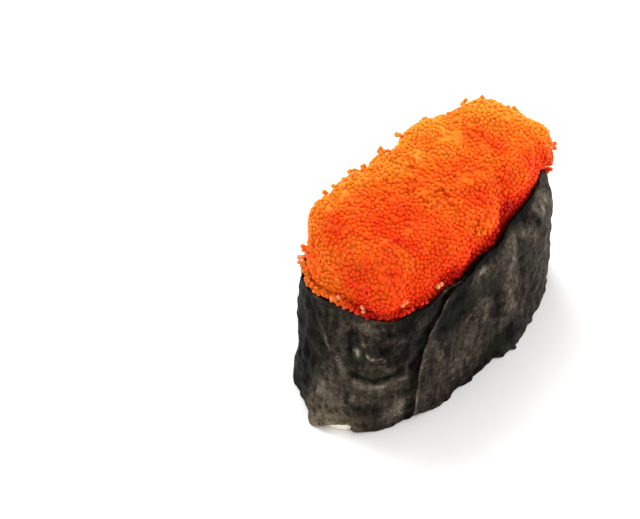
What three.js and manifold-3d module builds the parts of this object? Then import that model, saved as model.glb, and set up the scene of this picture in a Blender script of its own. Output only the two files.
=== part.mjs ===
// One gunkan sushi topped with flying fish roe: an oval block of pressed rice, a strip of nori
// wrapped upright round it, and a heap of tiny eggs filling the collar that stands above the rice.
//
// Millimetres, +Z up. The piece stands on z = 0 with its length along X, and the nori's
// free edge is on the -Y side near the -X end. Angles go counter-clockwise from +X.

import * as THREE from 'three';
import { mergeVertices } from 'three/addons/utils/BufferGeometryUtils.js';
import Module from 'manifold-3d';

const wasm = await Module();
wasm.setup();

// --- driving dimensions -------------------------------------------------------------------

const WALL_HEIGHT = 26.2; // width of the nori strip, which stands on its long edge
const SHEET = 0.45; // thickness of the moist nori
const CLEARANCE = 0.35; // air between the two layers of nori, and between the three parts

// Plan outline of the nori's outer face: reach towards -X (front) and +X (back), half width,
// squareness of the oval at each end, and how much wider the +X end is than the middle.
const FOOT_LOOP = { front: 27.4, back: 27.6, half: 13.8, frontSquare: 2.6, backSquare: 2.2, widening: 0.06 };
const RIM_LOOP = { front: 23.7, back: 27.4, half: 12.8, frontSquare: 3.2, backSquare: 3.2, widening: -0.12 };

const SEAM_ANGLE = rad(216); // foot of the outer layer's free edge
const SEAM_LEAN = rad(24); // how far round that edge has curved by the time it reaches the rim
const OVERLAP = rad(64); // how far the inner layer runs on behind the outer one
const CURL = 0.35; // how far the top of that edge stands off the layer below
const CORNER_DIP = 0.8; // how far its upper corner sags
const STRIP_STEPS = 72;
const WALL_STEPS = 7;

const RICE_HEIGHT = 20.8;
const GRAIN = { length: 5.2, width: 2.6, thickness: 2.3 };
const EDGE_GRAINS = 26; // whole grains round the lower edge of the block
const CORNER_GRAINS = 3; // and under the nori's lifted corner
const UNDERSIDE_GRAINS = 24;

const EGG = 1.35; // one bump of the heap: an egg or two
const HEAP_RISE = 10; // top of the heap above the rim, at mid length
const HEAP_SLOPE = -0.3; // part of that rise lost from the middle to the +X end
const HEAP_LEAN = 0.2; // part of it gained from the middle to the +Y side
const HEAP_BOXINESS = 3.8; // 2 is a round dome, more is a plateau with steep sides
const HEAP_ROWS = 15; // rows of eggs from the rim up to the ridge
const HEAP_TAPER = 0.68; // part of its length that the heap loses from its foot to its ridge
const SKIRT_SIDES = 48; // sides of the heap where it is hidden in the collar
const EGG_GAP = 1.04; // spacing of the eggs along a row, in diameters
const DIMPLE = 0.42; // depth of the hollows between eggs
const CROWN_LIFT = 0.16; // how far the eggs' crowns stand above the heap's smooth surface
const RIDGE_GAP = 0.45; // part of a row that is left open along the ridge
const OUTLINE_SAMPLES = 180; // points that a row's length is measured with
const LOOSE_EGGS = 44; // single eggs that stand up off the heap
const ROLLED_EGGS = [153, 175, 187, 193, 210, 236, 262, 290, 318]; // degrees round the rim

// --- small helpers ------------------------------------------------------------------------

function rad(degrees) {
  return (degrees * Math.PI) / 180;
}

/** Seeded random numbers from 0 to 1, so that the food is uneven in the same way every time. */
function seeded(seed) {
  let state = seed;
  return () => {
    state = (state + 0x6d2b79f5) | 0;
    let mixed = Math.imul(state ^ (state >>> 15), 1 | state);
    mixed = (mixed + Math.imul(mixed ^ (mixed >>> 7), 61 | mixed)) ^ mixed;
    return ((mixed ^ (mixed >>> 14)) >>> 0) / 4294967296;
  };
}

/** A smooth bump that is 1 at its centre and fades over about one width. */
function bump(distance, width) {
  return Math.exp(-((distance / width) ** 2));
}

/** 1 up to a distance, falling smoothly to 0 over a margin outside it. */
function window(distance, reach, margin) {
  return 1 - THREE.MathUtils.smoothstep(Math.abs(distance), reach, reach + margin);
}

/** The difference of two angles, from -180 to 180 degrees. */
function turn(angle, from) {
  return Math.atan2(Math.sin(angle - from), Math.cos(angle - from));
}

/** A point of a plan outline at an angle. */
function loopPoint(loop, angle) {
  const c = Math.cos(angle);
  const s = Math.sin(angle);
  const reach = c < 0 ? loop.front : loop.back;
  const n = c < 0 ? loop.frontSquare : loop.backSquare;
  const radius = (Math.abs(c / reach) ** n + Math.abs(s / loop.half) ** n) ** (-1 / n);
  const x = radius * c;
  return new THREE.Vector2(x, radius * s * (1 + (loop.widening * x) / loop.back));
}

// --- form of the nori wall ----------------------------------------------------------------

// Soft lumps all round: how many, how high, and how they lean as they go up.
const LUMPS = [
  { rise: 0.2, waves: 5, phase: 0.7, twist: 0.11 },
  { rise: 0.15, waves: 9, phase: -1.1, twist: -0.17 },
  { rise: 0.1, waves: 14, phase: 2.3, twist: 0.31 },
];

// A curved crease at the front corner: hollow above, a rounded lip below.
const CREASE = { angle: rad(200), width: rad(10), height: 11.2, droop: 1.6, hollow: 0.6, lip: 0.75 };

// Bulges and dents: where they are round the wall and up it. The first is beside the free edge;
// the others are near the table, where the sheet bellies out in places and is tucked under in others.
const DENTS = [
  { rise: -0.8, angle: rad(240), width: rad(10), height: 19.5, reach: 5 },
  { rise: 1.0, angle: rad(150), width: rad(10), height: 0, reach: 4.5 },
  { rise: 1.2, angle: rad(180), width: rad(6), height: 0, reach: 4.5 },
  { rise: -0.8, angle: rad(168), width: rad(7), height: 0, reach: 4.5 },
  { rise: -0.35, angle: rad(209), width: rad(12), height: 0, reach: 4.5 },
];

// Where the collar above the rice leans in over the roe, and how far: on the -Y side only.
const COLLAR_LEANS = [
  { lean: 0.7, angle: rad(198), reach: rad(4), margin: rad(24) },
  { lean: 0.7, angle: rad(300), reach: rad(25), margin: rad(30) },
  { lean: 1.4, angle: rad(328), reach: rad(8), margin: rad(30) },
];
const LEAN_START = RICE_HEIGHT - 1.3;

/** The sum of a function over a list. */
function total(list, value) {
  return list.reduce((sum, item) => sum + value(item), 0);
}

/** How far the nori's outer face stands out of its plain outline, where the damp sheet has shrunk. */
function wallRelief(angle, height) {
  const lumps = total(LUMPS, (l) => l.rise * Math.sin(l.waves * angle + l.phase + l.twist * height));
  const aside = turn(angle, CREASE.angle) / CREASE.width;
  const above = height - CREASE.height - CREASE.droop * aside * aside;
  const fold = bump(aside, 1.4) * (CREASE.lip * bump(above + 2.2, 1.5) - CREASE.hollow * bump(above, 1.2));
  const dents = total(
    DENTS,
    (d) => d.rise * bump(turn(angle, d.angle), d.width) * bump(height - d.height, d.reach),
  );
  // The inner layer gives way under the outer one.
  const lapped = (SHEET + CLEARANCE) * window(turn(angle, SEAM_ANGLE + OVERLAP / 2), OVERLAP / 2, rad(12));
  const lean = total(COLLAR_LEANS, (c) => c.lean * window(turn(angle, c.angle), c.reach, c.margin));
  return lumps + fold + dents - lapped - lean * THREE.MathUtils.smoothstep(height, LEAN_START, WALL_HEIGHT);
}

/** The way out of the wall at an angle and a level, from 0 at the foot to 1 at the rim. */
function wallNormal(angle, level) {
  const at = (a) => loopPoint(FOOT_LOOP, a).lerp(loopPoint(RIM_LOOP, a), level);
  const tangent = at(angle + 0.01).sub(at(angle - 0.01)).normalize();
  return new THREE.Vector2(tangent.y, -tangent.x);
}

/** A point of the nori's outer face, moved out or in by an offset. */
function wallPoint(angle, height, offset) {
  const level = THREE.MathUtils.clamp(height / WALL_HEIGHT, 0, 1);
  const plan = loopPoint(FOOT_LOOP, angle).lerp(loopPoint(RIM_LOOP, angle), level);
  plan.addScaledVector(wallNormal(angle, level), offset + wallRelief(angle, height));
  return new THREE.Vector3(plan.x, plan.y, height);
}

/** Height of the nori's upper edge. */
function rimHeight(angle) {
  const wave = 0.25 * Math.sin(3 * angle + 1.0) + 0.15 * Math.sin(8 * angle);
  return WALL_HEIGHT + wave + 0.4 * bump(turn(angle, rad(200)), rad(25));
}

/** Height of the nori's lower edge: it stands on the table, but is lifted off the front corner. */
function footHeight(angle) {
  return 1.3 * bump(turn(angle, rad(187)), rad(6));
}

// --- solids -------------------------------------------------------------------------------

/** The same geometry with only its positions, and shared corners merged. */
function weld(geometry) {
  geometry.deleteAttribute('normal');
  geometry.deleteAttribute('uv');
  return mergeVertices(geometry, 1e-4);
}

/** Moves every corner of a geometry by a function of its place. */
function reshape(geometry, place) {
  const positions = geometry.getAttribute('position');
  const corner = new THREE.Vector3();
  for (let i = 0; i < positions.count; i += 1) {
    corner.fromBufferAttribute(positions, i);
    positions.setXYZ(i, ...place(corner).toArray());
  }
  return geometry;
}

/** A geometry from corners and triangles. */
function solidFrom(corners, triangles) {
  const geometry = new THREE.BufferGeometry();
  geometry.setAttribute('position', new THREE.Float32BufferAttribute(corners.flatMap((p) => p.toArray()), 3));
  geometry.setIndex(triangles.flat());
  return geometry;
}

/** A closed manifold solid from a welded geometry. */
function toManifold(geometry) {
  return new wasm.Manifold(
    new wasm.Mesh({
      numProp: 3,
      vertProperties: new Float32Array(geometry.getAttribute('position').array),
      triVerts: new Uint32Array(geometry.index.array),
    }),
  );
}

/** The geometry of a manifold solid. */
function toGeometry(solid) {
  const mesh = solid.getMesh();
  const geometry = new THREE.BufferGeometry();
  geometry.setAttribute('position', new THREE.BufferAttribute(mesh.vertProperties, mesh.numProp));
  geometry.setIndex(new THREE.BufferAttribute(mesh.triVerts, 1));
  return geometry;
}

/** Fuses small pieces on to a core, and fills any hollow that this seals. */
function fuse(core, pieces) {
  const whole = pieces.reduce((sum, piece) => sum.add(toManifold(piece)), toManifold(core));
  return whole.decompose().reduce((largest, shell) => (shell.volume() > largest.volume() ? shell : largest));
}

/** A low-sided grain or egg, turned and placed. */
function pellet(size, place, spin) {
  const geometry = new THREE.IcosahedronGeometry(0.5, 0);
  const turned = new THREE.Quaternion().setFromEuler(spin);
  geometry.applyMatrix4(new THREE.Matrix4().compose(place, turned, size));
  return weld(geometry);
}

/** Triangles between two closed rings that may have different numbers of corners. */
function stitch(lower, upper) {
  const triangles = [];
  let i = 0;
  let j = 0;
  while (i < lower.length || j < upper.length) {
    const a = lower[i % lower.length];
    const b = upper[j % upper.length];
    if (j >= upper.length || (i < lower.length && (i + 1) / lower.length <= (j + 1) / upper.length)) {
      triangles.push([a, lower[(i + 1) % lower.length], b]);
      i += 1;
    } else {
      triangles.push([a, upper[(j + 1) % upper.length], b]);
      j += 1;
    }
  }
  return triangles;
}

/** Triangles that close a ring whose two halves mirror each other. */
function closeRing(ring) {
  const triangles = [];
  const half = ring.length / 2;
  for (let i = 0; i < half; i += 1) {
    const far = ring[(ring.length - i) % ring.length];
    const farNext = ring[ring.length - i - 1];
    if (i > 0) triangles.push([ring[i], ring[i + 1], far]);
    if (i < half - 1) triangles.push([ring[i + 1], farNext, far]);
  }
  return triangles;
}

/** Corners numbered ring by ring: each ring's own list of corner numbers. */
function numberRings(counts) {
  let next = 0;
  return counts.map((count) => {
    const ring = Array.from({ length: count }, (_, k) => next + k);
    next += count;
    return ring;
  });
}

// --- nori wrap ----------------------------------------------------------------------------

/** The way the strip takes round the rice, as seen from above, from its free edge inwards. */
class WrapPath extends THREE.Curve {
  getPoint(t) {
    const angle = SEAM_ANGLE + t * (2 * Math.PI + OVERLAP);
    const middle = loopPoint(FOOT_LOOP, angle).lerp(loopPoint(RIM_LOOP, angle), 0.5);
    return new THREE.Vector3(middle.x, middle.y, 0);
  }
}

/** How far the strip stands off the wall: the outer layer clears the inner one it covers. */
function layerOffset(travelled, level) {
  const settling = THREE.MathUtils.smoothstep(travelled, OVERLAP, OVERLAP + rad(16));
  const curl = CURL * level * bump(travelled, rad(5));
  return (SHEET + CLEARANCE) * (1 - settling) + curl;
}

/** One long strip of nori, rolled once round with its end lapped over its beginning. */
function noriWrap() {
  const path = new WrapPath();
  const length = path.getLength();
  const strip = new THREE.BoxGeometry(length, SHEET, 1, STRIP_STEPS, 1, WALL_STEPS);
  return reshape(weld(strip), (corner) => {
    const along = THREE.MathUtils.clamp(corner.x / length + 0.5, 0, 1);
    const travelled = path.getUtoTmapping(along) * (2 * Math.PI + OVERLAP);
    const level = corner.z + 0.5;
    const lean = SEAM_LEAN * level ** 4 * bump(travelled, rad(45));
    const angle = SEAM_ANGLE + travelled + lean;
    const foot = footHeight(angle);
    const rim = rimHeight(angle) - CORNER_DIP * bump(travelled, rad(14));
    const height = foot + level * (rim - foot);
    return wallPoint(angle, height, layerOffset(travelled, level) - SHEET / 2 - corner.y);
  });
}

// --- rice block ---------------------------------------------------------------------------

/** Rings of the rice core: height, and how far in from the nori's outer face. */
const RICE_RINGS = [
  { height: 0, inset: 9.5 },
  { height: 0.5, inset: 8.5 },
  { height: 0.5, inset: 1.9 },
  { height: 1.8, inset: 1.2 },
  { height: 11.2, inset: 1.2 },
  { height: RICE_HEIGHT - 1, inset: 1.2 },
  { height: RICE_HEIGHT, inset: 2.4 },
];
const RICE_SIDES = 36;

/** The pressed block: flat underneath, with a rounded lower edge. */
function riceCore() {
  const rings = numberRings(RICE_RINGS.map(() => RICE_SIDES));
  const corners = RICE_RINGS.flatMap(({ height, inset }) =>
    Array.from({ length: RICE_SIDES }, (_, k) => wallPoint((k / RICE_SIDES) * 2 * Math.PI, height, -inset)),
  );
  const walls = rings.slice(1).flatMap((ring, k) => stitch(rings[k], ring));
  const top = closeRing(rings.at(-1));
  const bottom = closeRing(rings[0]).map(([a, b, c]) => [a, c, b]);
  return solidFrom(corners, [...walls, ...top, ...bottom]);
}

/** One grain lying at an angle of the block, some way in from the nori. */
function riceGrain(random, angle, inset, height, stray) {
  const place = wallPoint(angle, height, -inset);
  const tangent = wallPoint(angle + 0.02, height, -inset).sub(wallPoint(angle - 0.02, height, -inset));
  const heading = Math.atan2(tangent.y, tangent.x) + stray * (random() - 0.5);
  const scale = 0.88 + 0.24 * random();
  const size = new THREE.Vector3(GRAIN.length, GRAIN.width, GRAIN.thickness).multiplyScalar(scale);
  return pellet(size, place, new THREE.Euler(random() * 6, 0.25 * (random() - 0.5), heading, 'ZYX'));
}

/** Grains that show: round the lower edge, under the lifted corner and on the underside. */
function riceGrains() {
  const random = seeded(11);
  const edge = Array.from({ length: EDGE_GRAINS }, (_, k) =>
    riceGrain(random, (k / EDGE_GRAINS) * 2 * Math.PI, 2.5 + 0.4 * random(), 1.0 + 0.4 * random(), rad(50)),
  );
  const corner = Array.from({ length: CORNER_GRAINS }, (_, k) =>
    riceGrain(random, rad(178 + 9 * k), 1.9, 0.3, rad(20)),
  );
  const underside = Array.from({ length: UNDERSIDE_GRAINS }, (_, k) => {
    const angle = ((k + 0.5 * random()) / UNDERSIDE_GRAINS) * 2 * Math.PI;
    return riceGrain(random, angle, 5 + 2.4 * (k % 2), 0.9, rad(360));
  });
  return [...edge, ...corner, ...underside];
}

/** The rice, with all that would be below the table pressed flat. */
function riceBlock() {
  const table = new THREE.BoxGeometry(80, 60, 10).translate(0, 0, -5);
  return toGeometry(fuse(riceCore(), riceGrains()).subtract(toManifold(weld(table))));
}

// --- roe heap -----------------------------------------------------------------------------

/** Clumps that stand out of the heap: angle, row counted from the rim, rise and spread. */
const CLUMPS = [
  { angle: rad(147), row: 5, rise: 1.2, spread: 3.5 },
  { angle: rad(128), row: 6, rise: 0.8, spread: 4 },
  { angle: rad(88), row: 5, rise: 0.5, spread: 3.5 },
  { angle: rad(46), row: 7, rise: 1.5, spread: 4.5 },
  { angle: rad(16), row: 6, rise: 1.8, spread: 4.5 },
  { angle: rad(200), row: 3, rise: 0.6, spread: 3 },
  { angle: rad(255), row: 4, rise: 0.6, spread: 4 },
  { angle: rad(300), row: 3, rise: 0.7, spread: 3 },
  { angle: rad(335), row: 5, rise: 0.6, spread: 4 },
];

/** How far the heap's foot reaches past the nori's outer face: only at the +X end. */
function overhang(angle) {
  const end = 1.25 * Math.max(Math.cos(angle - rad(10)), 0) ** 4 + 2.4 * bump(turn(angle, rad(344)), rad(11));
  return -1.15 + end + 0.3 * Math.max(Math.sin(angle), 0);
}

/** Level of the heap's foot: down inside the collar, or clear above the nori that it overhangs. */
function heapFoot(angle) {
  return rimHeight(angle) + 0.4 - 1.2 * THREE.MathUtils.smoothstep(-overhang(angle), 0.8, 1.1);
}

/** The arc up the heap's side and over to its ridge: x is how far in, from 0 to 1, and z how far up. */
class HeapArc extends THREE.Curve {
  getPoint(t) {
    const swing = (t * Math.PI) / 2;
    const power = 2 / HEAP_BOXINESS;
    const up = (HEAP_RISE / RIM_LOOP.half) * Math.sin(swing) ** power;
    return new THREE.Vector3(1 - Math.cos(swing) ** power, 0, up);
  }
}
const HEAP_ARC = new HeapArc();
HEAP_ARC.arcLengthDivisions = 2000;

/** A point of the heap's smooth surface: row 0 at the rim, row 1 on the ridge. */
function heapPoint(angle, row) {
  const { x: inward, z: up } = HEAP_ARC.getPointAt(row);
  const loop = {
    ...RIM_LOOP,
    front: RIM_LOOP.front * (1 - HEAP_TAPER * inward),
    back: RIM_LOOP.back * (1 - HEAP_TAPER * inward),
    half: RIM_LOOP.half * (1 - inward),
    frontSquare: RIM_LOOP.frontSquare - 1.1 * inward,
    backSquare: RIM_LOOP.backSquare - 1.1 * inward,
  };
  const plan = loopPoint(loop, angle);
  const lean = (overhang(angle) + wallRelief(angle, WALL_HEIGHT)) * (1 - inward);
  plan.addScaledVector(wallNormal(angle, 1), lean);
  const slope = 1 + HEAP_SLOPE * (plan.x / RIM_LOOP.back) + HEAP_LEAN * (plan.y / RIM_LOOP.half);
  const foot = heapFoot(angle);
  const rise = (WALL_HEIGHT + HEAP_RISE * slope - foot) / HEAP_RISE;
  return new THREE.Vector3(plan.x, plan.y, foot + RIM_LOOP.half * up * rise);
}

/** The way out of the heap at a point of its surface. */
function heapNormal(angle, row) {
  const low = THREE.MathUtils.clamp(row - 0.03, 0, 0.9);
  const rise = heapPoint(angle, low + 0.06).sub(heapPoint(angle, low));
  const round = heapPoint(angle + 0.02, row).sub(heapPoint(angle - 0.02, row));
  return round.cross(rise).normalize();
}

/** How far clumps of eggs stand out of the smooth heap. */
function clumpRise(angle, row) {
  const here = heapPoint(angle, row);
  const soft = 0.25 * Math.sin(7 * angle + 9 * row) + 0.2 * Math.sin(12 * angle - 14 * row + 1);
  const clumps = total(CLUMPS, (c) => {
    const away = here.distanceTo(heapPoint(c.angle, c.row / HEAP_ROWS));
    return c.rise * bump(away, c.spread);
  });
  return soft * Math.min(1, 6 * row) + clumps;
}

/** The heap down into the collar, its top one bump for each egg. */
function roeCore() {
  const random = seeded(5);
  const counts = [];
  const corners = [];
  const addRing = (points) => {
    counts.push(points.length);
    corners.push(...points);
  };
  const inset = SHEET + CLEARANCE + 0.3;
  const skirt = Array.from({ length: SKIRT_SIDES }, (_, k) => (k / SKIRT_SIDES) * 2 * Math.PI);
  addRing(skirt.map((angle) => wallPoint(angle, RICE_HEIGHT + CLEARANCE, -inset)));
  addRing(skirt.map((angle) => wallPoint(angle, heapFoot(angle) - 0.25, -inset)));
  for (let row = 0; row < HEAP_ROWS; row += 1) {
    const part = row / (HEAP_ROWS - 1 + RIDGE_GAP);
    const sampled = Array.from({ length: OUTLINE_SAMPLES }, (_, k) => (k / OUTLINE_SAMPLES) * 2 * Math.PI);
    const around = new THREE.CatmullRomCurve3(sampled.map((angle) => heapPoint(angle, part)), true);
    const count = 2 * Math.max(4, Math.round(around.getLength() / (2 * EGG * EGG_GAP)));
    const ring = Array.from({ length: count }, (_, k) => {
      const angle = around.getUtoTmapping((k + 0.5 * (row % 2)) / count) * 2 * Math.PI;
      const stray = row > 0 ? 0.25 * (random() - 0.5) : 0;
      const out = clumpRise(angle, part) + stray + CROWN_LIFT;
      return heapPoint(angle, part).addScaledVector(heapNormal(angle, part), row > 0 ? out : 0);
    });
    addRing(ring);
  }
  const rings = numberRings(counts);
  const crowns = rings.slice(3).flatMap((ring, k) => stitch(rings[k + 2], ring));
  crowns.push(...closeRing(rings.at(-1)));
  const bumps = dimple(corners, crowns, DIMPLE);
  const sides = [...stitch(rings[0], rings[1]), ...stitch(rings[1], rings[2])];
  const bottom = closeRing(rings[0]).map(([a, b, c]) => [a, c, b]);
  return solidFrom(corners, [...bottom, ...sides, ...bumps]);
}

/**
 * Turns a net of triangles whose corners are crowns into one six-sided bump for each corner:
 * a new low corner sits in each triangle, and the net is strung between the low corners.
 */
function dimple(corners, triangles, depth) {
  const owner = new Map();
  const lows = triangles.map(([a, b, c], face) => {
    owner.set(`${a}_${b}`, face);
    owner.set(`${b}_${c}`, face);
    owner.set(`${c}_${a}`, face);
    const [p, q, r] = [a, b, c].map((k) => corners[k]);
    const middle = p.clone().add(q).add(r).divideScalar(3);
    const down = q.clone().sub(p).cross(r.clone().sub(p)).normalize();
    corners.push(middle.addScaledVector(down, -depth));
    return corners.length - 1;
  });
  const net = [];
  for (const [edge, face] of owner) {
    const [a, b] = edge.split('_').map(Number);
    const across = owner.get(`${b}_${a}`);
    if (across === undefined) net.push([a, b, lows[face]]);
    else net.push([a, lows[across], lows[face]]);
  }
  return net;
}

/** One whole egg, a little larger or smaller than the rest, turned at random. */
function egg(random, place) {
  const size = new THREE.Vector3(1, 1, 1).multiplyScalar(EGG * (1 + 0.16 * (random() - 0.5)));
  return pellet(size, place, new THREE.Euler(random() * 6, random() * 6, random() * 6));
}

/** Eggs that stand up off the heap, and a few that have rolled to its edge above the nori. */
function looseEggs() {
  const random = seeded(23);
  const golden = Math.PI * (3 - Math.sqrt(5));
  const scattered = Array.from({ length: LOOSE_EGGS }, (_, k) => {
    const angle = k * golden;
    const row = 0.16 + 0.78 * ((k + 0.5) / LOOSE_EGGS);
    const out = clumpRise(angle, row) + EGG * (0.28 + 0.2 * random());
    return egg(random, heapPoint(angle, row).addScaledVector(heapNormal(angle, row), out));
  });
  const rolled = ROLLED_EGGS.map((degrees) =>
    egg(random, wallPoint(rad(degrees), WALL_HEIGHT + 1.25, -1.7 - 0.2 * random())),
  );
  return [...scattered, ...rolled];
}

/** The heap with its loose eggs. */
function roeHeap() {
  return toGeometry(fuse(roeCore(), looseEggs()));
}

// --- the piece ----------------------------------------------------------------------------

/** A named mesh with its own finish. */
function part(name, geometry, color, roughness) {
  const mesh = new THREE.Mesh(geometry, new THREE.MeshStandardMaterial({ color, roughness, metalness: 0 }));
  mesh.name = name;
  return mesh;
}

const gunkan = new THREE.Group();
gunkan.add(part('nori_wrap', noriWrap(), 0x2c2722, 0.5));
gunkan.add(part('rice_block', riceBlock(), 0xe9e4d6, 0.55));
gunkan.add(part('roe_heap', roeHeap(), 0xf25018, 0.3));

export default gunkan;
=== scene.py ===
"""A gunkan sushi topped with flying fish roe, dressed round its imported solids.

A strip of nori stands upright round an oval block of pressed rice. The collar that it makes
above the rice is heaped with eggs. Forms are worked out in millimetres, in the frame of the
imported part: +Z up, the length along X, and the nori's free edge on the -Y side near -X.
Meshes are made in metres.
"""

from __future__ import annotations

import sys

import logging
import math
from dataclasses import dataclass, field
from enum import Enum
from typing import Callable

import bmesh
import bpy
import numpy as np
from mathutils import Euler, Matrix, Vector, noise
from mathutils.bvhtree import BVHTree
from mathutils.kdtree import KDTree


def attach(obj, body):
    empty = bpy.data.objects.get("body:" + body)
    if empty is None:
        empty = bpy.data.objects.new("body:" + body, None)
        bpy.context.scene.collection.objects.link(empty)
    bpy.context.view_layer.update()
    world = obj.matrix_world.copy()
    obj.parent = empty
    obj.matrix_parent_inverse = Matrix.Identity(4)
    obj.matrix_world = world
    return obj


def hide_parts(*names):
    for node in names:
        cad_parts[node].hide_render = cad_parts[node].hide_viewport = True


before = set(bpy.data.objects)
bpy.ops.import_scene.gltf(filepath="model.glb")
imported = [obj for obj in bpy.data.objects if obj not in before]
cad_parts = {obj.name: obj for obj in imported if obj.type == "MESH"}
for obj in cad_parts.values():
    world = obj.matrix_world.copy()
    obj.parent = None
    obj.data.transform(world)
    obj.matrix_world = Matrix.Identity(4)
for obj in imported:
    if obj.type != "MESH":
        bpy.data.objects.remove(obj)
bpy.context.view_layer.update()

LOG = logging.getLogger("gunkan")
MM = 0.001
FULL_TURN = 2 * math.pi
GOLDEN_ANGLE = math.pi * (3 - math.sqrt(5))
# Heights in millimetres of the flats on which the lowest pieces rest.
LOWEST_FLAT = 0.02
FLAT_STEP = 0.01
FLAT_STEPS = 9
# Random spreads are cut off at this many times their width.
MOST_OFF = 2


class Node(Enum):
    """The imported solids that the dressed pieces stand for."""

    NORI = "nori_wrap"
    RICE = "rice_block"
    ROE = "roe_heap"


class Slot(Enum):
    """The material slots of the record."""

    NORI = "nori"
    RICE = "rice"
    ROE = "roe"


# --- small maths --------------------------------------------------------------------------


def rad(degrees: float) -> float:
    """Degrees as radians."""
    return math.radians(degrees)


def bump(distance: np.ndarray | float, width: float) -> np.ndarray | float:
    """A smooth bump: 1 at its centre, fading over about one width."""
    return np.exp(-((distance / width) ** 2))


def turn(angle: np.ndarray, origin: float) -> np.ndarray:
    """The signed difference of an angle from another, within half a turn."""
    return np.arctan2(np.sin(angle - origin), np.cos(angle - origin))


def ease(value: np.ndarray, low: float, high: float) -> np.ndarray:
    """0 below low, 1 above high and a smooth step between them."""
    share = np.clip((value - low) / (high - low), 0, 1)
    return share * share * (3 - 2 * share)


def window(distance: np.ndarray, reach: float, margin: float) -> np.ndarray:
    """1 up to a distance, falling smoothly to 0 over a margin outside it."""
    return 1 - ease(np.abs(distance), reach, reach + margin)


@dataclass(frozen=True)
class Ripple:
    """An uneven pattern in a surface: its height, its spacing along X, Y and Z, and its seed."""

    rise: float
    size: tuple[float, float, float]
    seed: float

    def waves(self, points: np.ndarray) -> np.ndarray:
        """Smooth noise from about -1 to 1 at places in millimetres, one a row."""
        return np.array([noise.noise(Vector(point)) for point in points / np.array(self.size) + self.seed])

    def cells(self, points: np.ndarray) -> np.ndarray:
        """Distance to the nearest of scattered centres: 0 at one, about 0.5 between two."""
        scaled = points / np.array(self.size) + self.seed
        return np.array([noise.voronoi(Vector(point))[0][0] for point in scaled])

    def lumps(self, points: np.ndarray) -> np.ndarray:
        """The height of its lumps and hollows in millimetres."""
        return self.rise * self.waves(points)


# --- forms shared by the pieces -----------------------------------------------------------


@dataclass(frozen=True)
class Oval:
    """A plan outline in millimetres, squarer or rounder at either end."""

    front: float
    back: float
    half: float
    front_square: float
    back_square: float
    widening: float
    # How much rounder it is when it is a line, and the least width that is worked with.
    rounding: float = 1.1
    thinnest: float = 1e-6

    def at(self, angle: np.ndarray, inward: np.ndarray | float = 0.0, taper: float = 1.0) -> np.ndarray:
        """Points of the outline.

        Args:
            angle: direction from the middle, counter-clockwise from +X.
            inward: how far the outline has drawn in, from 0 to 1 where it is a line along X.
            taper: part of its length that it has lost when it is a line.

        Returns:
            X and Y in millimetres, one point a row.
        """
        c, s = np.cos(angle), np.sin(angle)
        reach = np.where(c < 0, self.front, self.back) * (1 - taper * inward)
        half = np.maximum(self.half * (1 - inward), self.thinnest)
        power = np.where(c < 0, self.front_square, self.back_square) - self.rounding * inward
        radius = (np.abs(c / reach) ** power + np.abs(s / half) ** power) ** (-1 / power)
        x = radius * c
        return np.stack([x, radius * s * (1 + self.widening * x / self.back)], axis=-1)


@dataclass(frozen=True)
class Crease:
    """A curved crease that droops in its middle: a groove with a rounded lip below it."""

    angle: float = rad(200)
    width: float = rad(10)
    fade: float = 1.4
    height: float = 12.8
    droop: float = 0.8
    groove: float = 0.6
    groove_half: float = 1.2
    lip: float = 0.75
    lip_half: float = 1.5
    lip_below: float = 1.9

    def rise(self, angle: np.ndarray, height: np.ndarray) -> np.ndarray:
        """How far it stands out of the face.

        Args:
            angle: direction from the middle.
            height: height above the table in millimetres.

        Returns:
            Millimetres outwards.
        """
        aside = turn(angle, self.angle) / self.width
        above = height - self.height - self.droop * aside * aside
        lip = self.lip * bump(above + self.lip_below, self.lip_half)
        return bump(aside, self.fade) * (lip - self.groove * bump(above, self.groove_half))


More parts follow.
